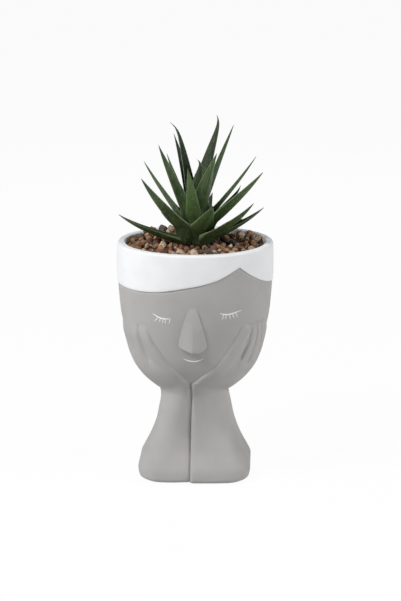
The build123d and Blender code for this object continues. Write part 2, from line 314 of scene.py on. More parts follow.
class Bench:
    """One material's nodes: a Principled shader, and helpers that add nodes before it."""

    def __init__(self, name: str) -> None:
        """Starts the material with its shader and output.

        Args:
            name: The material's name.
        """
        self.material = bpy.data.materials.new(name)
        self.material.use_nodes = True
        self.nodes = self.material.node_tree.nodes
        self.nodes.clear()
        self.shader = self.nodes.new("ShaderNodeBsdfPrincipled")
        self.output = self.nodes.new("ShaderNodeOutputMaterial")
        self.link(self.shader.outputs["BSDF"], self.output.inputs["Surface"])
        self.place = self.nodes.new("ShaderNodeTexCoord").outputs["Object"]

    def link(self, source: Socket, target: Socket) -> None:
        """Joins two sockets."""
        self.material.node_tree.links.new(source, target)

    def put(self, socket: Socket, value: object) -> None:
        """Sets a socket to a value, or joins it where the value is a socket.

        Args:
            socket: The socket to set.
            value: A number, a colour of three numbers, or another node's socket.
        """
        if isinstance(value, Socket):
            self.link(value, socket)
        elif isinstance(value, tuple) and len(value) == 3 and socket.type == "RGBA":
            socket.default_value = (*value, 1.0)
        else:
            socket.default_value = value

    def surface(self, **inputs: object) -> None:
        """Sets the shader's sockets, named with underscores for spaces."""
        for name, value in inputs.items():
            self.put(self.shader.inputs[name.replace("_", " ")], value)

    def stretched(self, share: float) -> Socket:
        """The object's coordinates, scaled along Z, which draws a pattern out upwards.

        Args:
            share: The scale along Z.

        Returns:
            The coordinates' socket.
        """
        mapping = self.nodes.new("ShaderNodeMapping")
        self.link(self.place, mapping.inputs["Vector"])
        mapping.inputs["Scale"].default_value = (1.0, 1.0, share)
        return mapping.outputs["Vector"]

    def noise(self, size: float, detail: float = 3.0, place: Socket | None = None) -> Socket:
        """Soft noise.

        Args:
            size: Size of its patches in millimetres.
            detail: How many finer layers it has.
            place: Coordinates, if not the object's.

        Returns:
            The noise's value socket, about 0.5 on average.
        """
        node = self.nodes.new("ShaderNodeTexNoise")
        self.link(place or self.place, node.inputs["Vector"])
        node.inputs["Scale"].default_value = 1.0 / (size * METRES_PER_MM)
        node.inputs["Detail"].default_value = detail
        return node.outputs["Fac"]

    def cells(self, size: float) -> Socket:
        """Cells, each growing from 0 in its middle.

        Args:
            size: Their size in millimetres, about.

        Returns:
            The socket of the distance to the nearest middle.
        """
        node = self.nodes.new("ShaderNodeTexVoronoi")
        self.link(self.place, node.inputs["Vector"])
        node.inputs["Scale"].default_value = 1.0 / (size * METRES_PER_MM)
        return node.outputs["Distance"]

    def carried(self, name: str) -> Socket:
        """A value that the mesh carries on its points.

        Args:
            name: The value's name.

        Returns:
            Its socket.
        """
        node = self.nodes.new("ShaderNodeAttribute")
        node.attribute_name = name
        return node.outputs["Fac"]

    def ramp(self, value: Socket, low: float, high: float, start: float = 0.0, end: float = 1.0) -> Socket:
        """A smooth change from start to end as value goes from low to high.

        Args:
            value: The socket that is read.
            low: Its value where the change starts.
            high: Its value where the change ends.
            start: What comes out up to low.
            end: What comes out from high on.

        Returns:
            The result's socket.
        """
        node = self.nodes.new("ShaderNodeMapRange")
        node.interpolation_type = "SMOOTHSTEP"
        for name, number in (("From Min", low), ("From Max", high), ("To Min", start), ("To Max", end)):
            node.inputs[name].default_value = number
        self.link(value, node.inputs["Value"])
        return node.outputs["Result"]

    def uneven(self, value: Socket, middle: float, spread: Range) -> Socket:
        """A number that follows a noise, from a little under its middle to a little over it.

        Args:
            value: The noise.
            middle: The number's middle.
            spread: How far under and how far over it goes, though never over 1.

        Returns:
            The result's socket.
        """
        less, more = spread
        return self.ramp(value, *NOISE_RANGE, middle - less, min(middle + more, 1.0))

    def sum_of(self, kind: str, first: object, second: object) -> Socket:
        """One step of arithmetic on two values.

        Args:
            kind: The operation, in the maths node's words.
            first: Number or socket.
            second: Number or socket.

        Returns:
            The result's socket.
        """
        node = self.nodes.new("ShaderNodeMath")
        node.operation = kind
        self.put(node.inputs[0], first)
        self.put(node.inputs[1], second)
        return node.outputs[0]

    def blend(self, share: object, first: object, second: object) -> Socket:
        """A colour between two, by share.

        Args:
            share: How much of the second, a number or a socket.
            first: The first colour, or its socket.
            second: The second colour, or its socket.

        Returns:
            The mixed colour's socket.
        """
        node = self.nodes.new("ShaderNodeMix")
        node.data_type = "RGBA"
        for socket, value in ((node.inputs[0], share), (node.inputs[6], first), (node.inputs[7], second)):
            self.put(socket, value)
        return node.outputs[2]

    def bump(self, height: Socket, depth: float, before: Socket | None = None) -> Socket:
        """Small relief from a value.

        Args:
            height: The relief's shape, 0 to 1.
            depth: Its depth in millimetres.
            before: Relief that this one is laid over.

        Returns:
            The normal's socket.
        """
        node = self.nodes.new("ShaderNodeBump")
        node.inputs["Distance"].default_value = depth * METRES_PER_MM
        self.link(height, node.inputs["Height"])
        if before:
            self.link(before, node.inputs["Normal"])
        return node.outputs["Normal"]


def linear(red: int, green: int, blue: int) -> Colour:
    """Turns a colour as seen into the linear values that a shader takes.

    Args:
        red: Its red, 0 to 255.
        green: Its green.
        blue: Its blue.

    Returns:
        The linear colour, 0 to 1.
    """
    seen = np.array([red, green, blue]) / 255.0
    low, high = seen / 12.92, ((seen + 0.055) / 1.055) ** 2.4
    return tuple(float(c) for c in np.where(seen <= 0.04045, low, high))


@dataclass(frozen=True)
class CastingFinish:
    """Matt paint over a cast surface: cloudy colour, fine grain and faint hand-smoothed waves."""

    name: str
    colour: Colour
    shade: Colour
    roughness: float = 0.62
    grain_size: float = 0.55
    grain_depth: float = 0.035
    wave_size: float = 9.0
    wave_depth: float = 0.10
    cloud_size: float = 17.0
    speck_size: float = 2.6
    cloud_range: Range = (0.35, 0.70)
    speck_range: Range = (0.05, 0.10)
    speck_share: float = 0.25
    roughness_spread: Range = (0.05, 0.07)
    gloss: float = 0.32

    def material(self) -> Material:
        """The finish as a node material.

        Returns:
            The new material.
        """
        bench = Bench(self.name)
        clouds = bench.ramp(bench.noise(self.cloud_size, 4.0), *self.cloud_range)
        mottled = bench.blend(clouds, self.colour, self.shade)
        specks = bench.ramp(bench.cells(self.speck_size), *self.speck_range, self.speck_share, 0.0)
        coloured = bench.blend(specks, mottled, self.shade)
        waves = bench.bump(bench.noise(self.wave_size, 2.0), self.wave_depth)
        grain = bench.bump(bench.noise(self.grain_size, 4.0), self.grain_depth, waves)
        rough = bench.uneven(bench.noise(self.wave_size, 5.0), self.roughness, self.roughness_spread)
        bench.surface(Base_Color=coloured, Roughness=rough, Normal=grain, Specular_IOR_Level=self.gloss)
        return bench.material


@dataclass(frozen=True)
class LeafFinish:
    """Moulded leaf plastic: dark to bright green by the leaf's tone, with olive patches, pale streaks that
    are partly a painted highlight, pale edges, painted shade at the root and over the channelled upper face,
    a dry brown tip and faint dashes."""

    name: str = "leaf_plastic"
    dark: Colour = linear(40, 60, 37)
    olive: Colour = linear(78, 95, 55)
    bright: Colour = linear(80, 112, 54)
    # Painted shade: the dark green laid over the root and the channelled upper face
    deep: Colour = linear(24, 36, 24)
    pale: Colour = linear(150, 164, 122)
    tip: Colour = linear(70, 66, 50)
    roughness: float = 0.40
    roughness_spread: Range = (0.08, 0.10)
    channel_roughness: float = 0.25
    gloss: float = 0.34
    patch_size: float = 9.0
    patch_stretch: float = 0.4
    patch_range: Range = (0.38, 0.68)
    patch_share: float = 0.75
    root_reach: float = 0.30
    # Shares of painted shade at the root and over the channelled upper face
    root_shade_share: float = 0.62
    channel_shade_share: float = 0.72
    streak_size: float = 1.1
    streak_stretch: float = 0.12
    streak_range: Range = (0.45, 0.75)
    # Share of the pale streaks, partly a moulded pattern and partly a painted highlight
    streak_and_highlight_share: float = 0.22
    streak_depth: float = 0.10
    edge_range: Range = (0.90, 0.99)
    edge_share: float = 0.42
    # Radians of the dashes' wave over the leaf's length
    dash_turn: float = 150.0
    dash_range: Range = (0.45, 0.95)
    break_size: float = 1.6
    break_range: Range = (0.46, 0.60)
    break_share: float = 0.42
    dry_start: float = 0.90
    dry_share: float = 0.85
    wave_size: float = 4.0
    wave_depth: float = 0.25

    def material(self) -> Material:
        """The finish as a node material that reads the leaf's own along, across, face, tone and bands.

        Returns:
            The new material.
        """
        bench = Bench(self.name)
        along, across = bench.carried("along"), bench.carried("across")
        side = bench.sum_of("ABSOLUTE", across, 0.0)
        tone = bench.carried("tone")
        base = bench.blend(bench.ramp(tone, 0.0, 1.0), self.dark, self.bright)
        cloud = bench.noise(self.patch_size, 3.0, bench.stretched(self.patch_stretch))
        patches = bench.ramp(cloud, *self.patch_range, 0.0, self.patch_share)
        mixed = bench.blend(patches, base, self.olive)
        # Painted shade: darker towards the root, where the leaves crowd
        root = bench.ramp(along, 0.0, self.root_reach, self.root_shade_share, 0.0)
        root_shaded = bench.blend(root, mixed, self.deep)
        # Painted shade over the channelled upper face
        channel_shade = bench.ramp(bench.carried("face"), 0.0, 1.0, 0.0, self.channel_shade_share)
        channel_shaded = bench.blend(channel_shade, root_shaded, self.deep)
        streak = bench.noise(self.streak_size, 3.0, bench.stretched(self.streak_stretch))
        # Pale streaks: partly a moulded pattern, partly a painted highlight
        light = bench.ramp(streak, *self.streak_range, 0.0, self.streak_and_highlight_share)
        streaked_and_highlit = bench.blend(light, channel_shaded, self.pale)
        edge = bench.ramp(side, *self.edge_range, 0.0, self.edge_share)
        edged = bench.blend(edge, streaked_and_highlit, self.pale)
        rows = bench.sum_of("SINE", bench.sum_of("MULTIPLY", along, self.dash_turn), 0.0)
        broken = bench.ramp(bench.noise(self.break_size, 2.0), *self.break_range, 0.0, self.break_share)
        dash = bench.sum_of("MULTIPLY", bench.ramp(rows, *self.dash_range), broken)
        dashed = bench.sum_of("MULTIPLY", dash, bench.carried("bands"))
        lined = bench.blend(dashed, edged, self.pale)
        dry = bench.ramp(along, self.dry_start, 1.0, 0.0, self.dry_share)
        waves = bench.bump(bench.noise(self.wave_size, 2.0), self.wave_depth)
        duller = bench.sum_of("MULTIPLY", bench.carried("face"), self.channel_roughness)
        rough = bench.uneven(streak, self.roughness, self.roughness_spread)
        bench.surface(
            Base_Color=bench.blend(dry, lined, self.tip),
            Roughness=bench.sum_of("ADD", duller, rough),
            Normal=bench.bump(streak, self.streak_depth, waves),
            Specular_IOR_Level=self.gloss,
        )
        return bench.material


@dataclass(frozen=True)
class StoneFinish:
    """Crushed stone of one kind: each stone its own shade, with grains, dusty patches and a rough skin."""

    name: str
    light: Colour
    deep: Colour
    dust: Colour = linear(196, 184, 166)
    roughness: float = 0.78
    roughness_spread: Range = (0.12, 0.10)
    patch_size: float = 2.0
    patch_range: Range = (0.40, 0.70)
    patch_share: float = 0.55
    grain_size: float = 0.7
    grain_range: Range = (0.10, 0.30)
    grain_share: float = 0.35
    pit_size: float = 0.6
    pit_depth: float = 0.16
    lump_size: float = 2.2
    lump_depth: float = 0.3

    def material(self) -> Material:
        """The finish as a node material that reads each stone's own tone.

        Returns:
            The new material.
        """
        bench = Bench(self.name)
        stone = bench.blend(bench.carried("tone"), self.deep, self.light)
        patch = bench.ramp(bench.noise(self.patch_size, 4.0), *self.patch_range, 0.0, self.patch_share)
        patched = bench.blend(patch, stone, self.deep)
        grain = bench.ramp(bench.cells(self.grain_size), *self.grain_range, self.grain_share, 0.0)
        rough = bench.uneven(bench.noise(1.0), self.roughness, self.roughness_spread)
        lumps = bench.bump(bench.noise(self.lump_size, 2.0), self.lump_depth)
        bench.surface(
            Base_Color=bench.blend(grain, patched, self.dust),
            Roughness=rough,
            Normal=bench.bump(bench.noise(self.pit_size, 4.0), self.pit_depth, lumps),
        )
        return bench.material


@dataclass(frozen=True)
class PlainFinish:
    """A hidden part's stuff: two mixed shades over pores or fibres of one size."""

    name: str
    colour: Colour
    shade: Colour
    pore_size: float
    pore_depth: float
    roughness: float
    stretch: float = 1.0
    roughness_spread: Range = (0.06, 0.08)
    broad_size: float = 8.0
    broad_range: Range = (0.35, 0.65)
    pit_range: Range = (0.30, 0.55)
    pit_share: float = 0.7

    def material(self) -> Material:
        """The finish as a node material.

        Returns:
            The new material.
        """
        bench = Bench(self.name)
        place = bench.stretched(self.stretch)
        fine = bench.noise(self.pore_size, 5.0, place)
        broad = bench.noise(self.pore_size * self.broad_size, 3.0)
        mixed = bench.blend(bench.ramp(broad, *self.broad_range), self.colour, self.shade)
        pitted = bench.blend(bench.ramp(fine, *self.pit_range, self.pit_share, 0.0), mixed, self.shade)
        rough = bench.uneven(fine, self.roughness, self.roughness_spread)
        bench.surface(Base_Color=pitted, Roughness=rough, Normal=bench.bump(fine, self.pore_depth))
        return bench.material


@dataclass
class BowlForm:
    """The bowl's bare form, which everything on it is laid over."""

    rim_height: float
    base_height: float = 56.0
    radius: float = 50.0
    wall: float = 4.8
    cavity_floor_height: float = 67.0
    columns: int = 480
    front_crowding: float = 0.55
    # Share of the height over the base, and share of the radius
    side_knots: Knots = (
        (0.00, 0.380), (0.11, 0.636), (0.19, 0.756), (0.27, 0.828), (0.36, 0.878),
        (0.52, 0.952), (0.68, 0.984), (0.84, 0.997), (1.00, 0.990),
    )

    def radius_at(self, height: Array) -> Array:
        """The bare radius at a height."""
        share = (height - self.base_height) / (self.rim_height - self.base_height)
        return self.radius * curve(self.side_knots, share)

    def spot(self, angle: Array, height: Array, lift: Array | float = 0.0) -> Array:
        """Points on the bowl.

        Args:
            angle: Degrees from the middle of the face towards +X.
            height: Heights over the floor.
            lift: How far the point stands out from the bare form.

        Returns:
            Points, with x, y and z last.
        """
        radius = self.radius_at(height) + lift
        turn = np.radians(angle)
        return np.stack([radius * np.sin(turn), -radius * np.cos(turn), height + 0.0 * turn], axis=-1)

    def column_angles(self) -> Array:
        """Angles of the columns, crowded towards the face: u less a share of sin u."""
        u = np.linspace(-math.pi, math.pi, self.columns, endpoint=False)
        return np.degrees(u - self.front_crowding * np.sin(u))


@dataclass(frozen=True)
class Finger:
    """One finger's middle line on the bowl, as angle and height, and half its width at root and tip."""

    line: Knots
    root_half_width: float
    tip_half_width: float
    fullness: float = 1.0


@dataclass(frozen=True)
class Crease:
    """A crease between two fingers: its line on the bowl, as angle and height, its depth and half width."""

    line: Knots
    depth: float
    half_width: float


@dataclass
class Hand:
    """One hand in low relief: a palm with its inner edge, four fingers and the creases between them."""

    side: int
    fingers: tuple[Finger, ...]
    creases: tuple[Crease, ...]
    inner_edge: Knots
    softness: float
    tip_height: float = 109.5
    tip_fade: float = 3.0
    relief: float = 2.3
    palm_share: float = 0.82
    palm_top_height: float = 83.0
    palm_fade: float = 9.0
    palm_back_angle: float = 112.0
    wrist_height: float = 58.0
    edge_width: float = 2.0
    back_fade: float = 8.0
    wrist_fade: float = 3.0
    join_sharpness: float = 5.0
    crease_tip_share: float = 0.6
    samples: int = 40

    def lift(self, bowl: BowlForm, angle: Array, height: Array) -> Array:
        """How far the hand stands out of the bowl.

        A finger is a rounded ridge, (1 - (d/w)^2)^softness, by the distance d to its line; the palm is a
        level patch with eased edges; the two are joined by their larger, rounded where they cross. A
        crease takes away its depth times exp(-(d/w)^2).

        Args:
            bowl: The bare form.
            angle: Angles of the points.
            height: Heights of the points.

        Returns:
            The lift at each point.
        """
        angle = angle * self.side
        points = bowl.spot(angle, height)
        layers = [self.palm(bowl, angle, height)]
        for finger in self.fingers:
            widths = finger.root_half_width, finger.tip_half_width
            nearest = self.distance(bowl, points, finger.line, *widths)
            ridge = np.clip(1.0 - nearest**2, 0.0, 1.0) ** self.softness
            layers.append(self.relief * finger.fullness * ridge)
        joined = np.clip(soft_max(layers, self.join_sharpness), 0.0, None)
        joined = joined * ease(self.tip_height, self.tip_height - self.tip_fade, height)
        for crease in self.creases:
            tip_half_width = self.crease_tip_share * crease.half_width
            nearest = self.distance(bowl, points, crease.line, crease.half_width, tip_half_width)
            joined = joined - crease.depth * bell(nearest, 1.0)
        return joined

    def distance(
        self, bowl: BowlForm, points: Array, knots: Knots, root_width: float, tip_width: float
    ) -> Array:
        """Distance of points to a line on the bowl, as a share of the width there.

        Args:
            bowl: The bare form.
            points: Points on the bowl.
            knots: The line, as angle and height.
            root_width: The width at its start.
            tip_width: The width at its end.

        Returns:
            The share at each point.
        """
        along = np.linspace(0.0, 1.0, self.samples)
        line = bowl.spot(*walk(knots, along))
        nearest = np.full(points.shape[:-1], np.inf)
        for centre, width in zip(line, root_width + (tip_width - root_width) * along):
            nearest = np.minimum(nearest, np.linalg.norm(points - centre, axis=-1) / width)
        return nearest

    def palm(self, bowl: BowlForm, angle: Array, height: Array) -> Array:
        """The palm's lift: eased in from its inner edge, out at the back and up into the fingers.

        Args:
            bowl: The bare form.
            angle: Angles of the points, growing outward on this hand's side.
            height: Heights of the points.

        Returns:
            The lift at each point.
        """
        heights_first = tuple((z, a) for a, z in self.inner_edge)
        edge_angle = np.where(height < self.inner_edge[0][1], 0.0, curve(heights_first, height))
        inside = np.radians(angle - edge_angle) * bowl.radius_at(height)
        front = ease(0.0, self.edge_width, inside)
        back = ease(self.palm_back_angle + self.back_fade, self.palm_back_angle - self.back_fade, angle)
        top = ease(self.palm_top_height + self.palm_fade, self.palm_top_height - self.palm_fade, height)
        wrist = ease(self.wrist_height - self.wrist_fade, self.wrist_height + self.wrist_fade, height)
        return self.palm_share * self.relief * front * back * top * wrist


@dataclass
class Bowl:
    """The cast bowl with both hands, its rim and its cavity, as one closed surface."""

    form: BowlForm
    hands: tuple[Hand, ...]
    band: "HairBand"
    rim_round: float = 1.7
    seam_depth: float = 0.4
    seam_width: float = 0.8
    paint_gap: float = 0.12
    groove_depth: float = 1.3
    groove_half_width: float = 0.9
    groove_heights: Range = (71.0, 66.0)
    chin_recess: float = 1.0
    chin_angle: float = -1.6
    chin_height: float = 76.0
    chin_spread: float = 11.0
    chin_heights: Range = (67.0, 73.0)
    # Where a stretch of rows ends, and how many rows it has
    row_stretches: tuple[tuple[float, int], ...] = ((64.0, 12), (112.0, 90), (128.0, 12), (148.0, 40))
    shoulder_rows: int = 6
    rim_rows: int = 7
    cavity_rows: int = 24
    base_gap: float = 0.4
    base_share: float = 0.5
    floor_share: float = 0.4

    def lift(self, angle: Array, height: Array) -> Array:
        """The outside's lift over the bare form: hands, the groove between them, a hollow at the chin and
        a fine seam under the hair band. Groove, hollow and seam are bells, exp(-(d/w)^2).

        Args:
            angle: Angles of the points.
            height: Heights of the points.

        Returns:
            The lift at each point.
        """
        total = sum(hand.lift(self.form, angle, height) for hand in self.hands)
        across = np.radians(angle - self.chin_angle) * self.form.radius_at(height)
        groove = bell(across, self.groove_half_width) * ease(*self.groove_heights, height)
        away = np.hypot(across, height - self.chin_height)
        hollow = bell(away, self.chin_spread) * ease(*self.chin_heights, height)
        seam = bell(self.band.edge_height(angle) - height, self.seam_width)
        return total - self.groove_depth * groove - self.chin_recess * hollow - self.seam_depth * seam

    def build(self, material: Material) -> Piece:
        """Makes the bowl: rows run from under its base up the outside, over the rim and down the cavity.

        Args:
            material: The grey casting's material.

        Returns:
            The new piece.
        """
        form = self.form
        angles = form.column_angles()
        top = form.rim_height - self.paint_gap
        shoulder = top - self.rim_round
        starts = [form.base_height + self.base_gap, *(end for end, _ in self.row_stretches)]
        stretches = [
            np.linspace(start, end, count, endpoint=False)
            for start, (end, count) in zip(starts, self.row_stretches)
        ]
        stretches.append(np.linspace(starts[-1], shoulder, self.shoulder_rows))
        angle, height = np.meshgrid(angles, np.concatenate(stretches))
        outside = form.spot(angle, height, self.lift(angle, height))
        base = drawn_in(outside[:1], self.base_share)
        arc = np.radians(np.linspace(90.0, 0.0, self.rim_rows)[:, None]) + 0.0 * angles
        high = np.full_like(arc, shoulder)
        rim_out = form.spot(angles + 0.0 * arc, high, self.rim_round * (np.sin(arc) - 1.0))
        rim_out[..., 2] = shoulder + self.rim_round * np.cos(arc)
        inner_lift = -form.wall + self.rim_round * (1.0 - np.sin(arc[::-1]))
        rim_in = form.spot(angles + 0.0 * arc, high, inner_lift)
        rim_in[..., 2] = shoulder + self.rim_round * np.cos(arc[::-1])
        inner_angle, inner_height = np.meshgrid(
            angles, np.linspace(shoulder - 1.0, form.cavity_floor_height, self.cavity_rows)
        )
        inside = form.spot(inner_angle, inner_height, -form.wall)
        floor = drawn_in(inside[-1:], self.floor_share)
        skin = Skin()
        skin.tube(np.concatenate([base, outside, rim_out, rim_in, inside, floor]))
        return finish_piece(skin.build("pot_bowl"), material, Body.POT, Slot.CASTING, "pot")


@dataclass
class HairBand:
    """The white band round the rim: a raised step whose front edge sweeps up to a peak."""

    form: BowlForm
    relief: float = 0.45
    inner_gap: float = 0.12
    rim_round: float = 1.6
    bite: float = 1.2
    edge_round: float = 0.35
    inner_low_height: float = 143.0
    bevel_share: float = 0.3
    face_rows: int = 16
    outer_round_rows: int = 6
    inner_round_rows: int = 7
    inner_rows: int = 5
    peak_angle: float = 35.7
    # Angle and height of the lower edge, on both sides of its peak
    left_edge: Knots = (
        (-180.0, 129.2), (-100.0, 129.2), (-71.3, 129.3), (-42.7, 129.6), (-22.7, 131.2), (-6.5, 134.0),
        (9.3, 136.8), (17.3, 138.8), (25.5, 141.8), (31.5, 144.4), (35.7, 146.0),
    )
    right_edge: Knots = (
        (35.7, 146.0), (40.0, 143.2), (46.5, 139.7), (55.3, 136.1), (64.7, 133.4), (74.7, 131.6),
        (95.0, 129.9), (120.0, 129.2), (180.0, 129.2),
    )

    def edge_height(self, angle: Array) -> Array:
        """Height of the band's lower edge, which has a kink at its peak."""
        left, right = curve(self.left_edge, angle), curve(self.right_edge, angle)
        return np.where(angle < self.peak_angle, left, right)

    def build(self, material: Material) -> Piece:
        """Makes the band: each section runs up the outside, over the rim, down inside and back in the wall.

        Args:
            material: The white casting's material.

        Returns:
            The new piece.
        """
        form = self.form
        angles = form.column_angles()
        low = self.edge_height(angles)
        shoulder = form.rim_height - self.rim_round
        rows: list[Array] = []

        def add_row(height: Array | float, lift: float, place: float | None = None) -> None:
            """Adds one row.

            Args:
                height: The height that its radius is read at.
                lift: How far it stands out from the bare form.
                place: Its own height, where that is another.
            """
            row = form.spot(angles, height + 0.0 * angles, lift)
            if place is not None:
                row[:, 2] = place
            rows.append(row)

        add_row(low, -self.bite)
        add_row(low, self.relief - self.edge_round)
        bevel = self.bevel_share * self.edge_round
        add_row(low + bevel, self.relief - bevel)
        start = low + self.edge_round
        for share in np.linspace(0.0, 1.0, self.face_rows):
            add_row(start + (shoulder - start) * share, self.relief)
        for turn in np.radians(np.linspace(15.0, 90.0, self.outer_round_rows)):
            rise = self.rim_round * math.sin(turn)
            add_row(shoulder, self.relief - self.rim_round * (1.0 - math.cos(turn)), shoulder + rise)
        inner = -form.wall - self.inner_gap
        for turn in np.radians(np.linspace(90.0, 0.0, self.inner_round_rows)):
            rise = self.rim_round * math.sin(turn)
            add_row(shoulder, inner + self.rim_round * (1.0 - math.cos(turn)), shoulder + rise)
        for height in np.linspace(shoulder - 2.0, self.inner_low_height, self.inner_rows):
            add_row(height, inner)
        add_row(self.inner_low_height, -form.wall + self.bite)
        add_row(shoulder - 1.0, -form.wall / 2)
        skin = Skin()
        skin.tube(np.stack(rows), closed_rows=True)
        return finish_piece(skin.build("pot_hair_band"), material, Body.POT, Slot.CASTING, "pot")


@dataclass
class Nose:
    """The wedge nose: two flat facets that meet in a ridge, and a cut-back underside."""

    form: BowlForm
    top_height: float = 124.4
    wing_height: float = 96.4
    tip_height: float = 92.7
    half_width: float = 8.8
    stand_out: float = 5.4
    flank: float = 0.7
    bite: float = 3.0
    middle_angle: float = 0.6
    ridge_round: float = 0.04
    # Share of the way down, then share of the half width and of the stand-out
    width_knots: Knots = ((0.0, 0.10), (0.30, 0.50), (0.60, 0.75), (0.88, 0.97), (0.96, 1.0), (1.0, 0.98))
    out_knots: Knots = ((0.0, 0.00), (0.12, 0.08), (0.35, 0.30), (0.94, 0.98), (1.0, 0.94))
    # Share of the half width, from left to right, and share of the way from the wings to the tip
    foot_knots: Knots = (
        (-1.0, 0.0), (-0.92, 0.22), (-0.45, 0.72), (-0.20, 0.96), (0.0, 1.02),
        (0.45, 1.02), (0.75, 0.86), (0.93, 0.42), (1.0, 0.10),
    )
    flank_share: float = 0.6
    top_sink: float = 0.25
    top_sink_share: float = 0.3
    back_share: float = 0.9
    rows: int = 60
    columns: int = 41

    def build(self, material: Material) -> Piece:
        """Makes the nose: at each level the front is flank + (out - flank)(1 - |u|), with the ridge rounded.

        Args:
            material: The grey casting's material.

        Returns:
            The new piece.
        """
        down = np.linspace(0.0, 1.0, self.rows)[:, None]
        u = np.linspace(-1.0, 1.0, self.columns)[None, :]
        share = curve(self.foot_knots, u)
        foot = self.wing_height + (self.tip_height - self.wing_height) * share
        height = self.top_height + (foot - self.top_height) * down
        half = self.half_width * np.interp(down, *np.array(self.width_knots).T)
        out = self.stand_out * np.interp(down, *np.array(self.out_knots).T)
        edge = np.minimum(self.flank, self.flank_share * out)
        radius = self.form.radius_at(height)
        x = half * u
        ground = np.sqrt(radius**2 - x**2)
        ridge = (out - edge) * (1.0 - soft_size(u, self.ridge_round))
        front = -(ground + edge + ridge - self.top_sink * ease(self.top_sink_share, 0.0, down))
        back = -(ground - self.bite)
        x_back = x[:, ::-1] * self.back_share
        rings = np.concatenate(
            [
                np.stack([x, front, height], axis=-1),
                np.stack([x_back, back[:, ::-1], height[:, ::-1]], axis=-1),
            ],
            axis=1,
        )
        turn = math.radians(self.middle_angle)
        spin = np.array(
            [[math.cos(turn), math.sin(turn), 0.0], [-math.sin(turn), math.cos(turn), 0.0], [0.0, 0.0, 1.0]]
        )
        skin = Skin()
        skin.tube(rings @ spin)
        return finish_piece(skin.build("pot_nose"), material, Body.POT, Slot.CASTING, "pot")


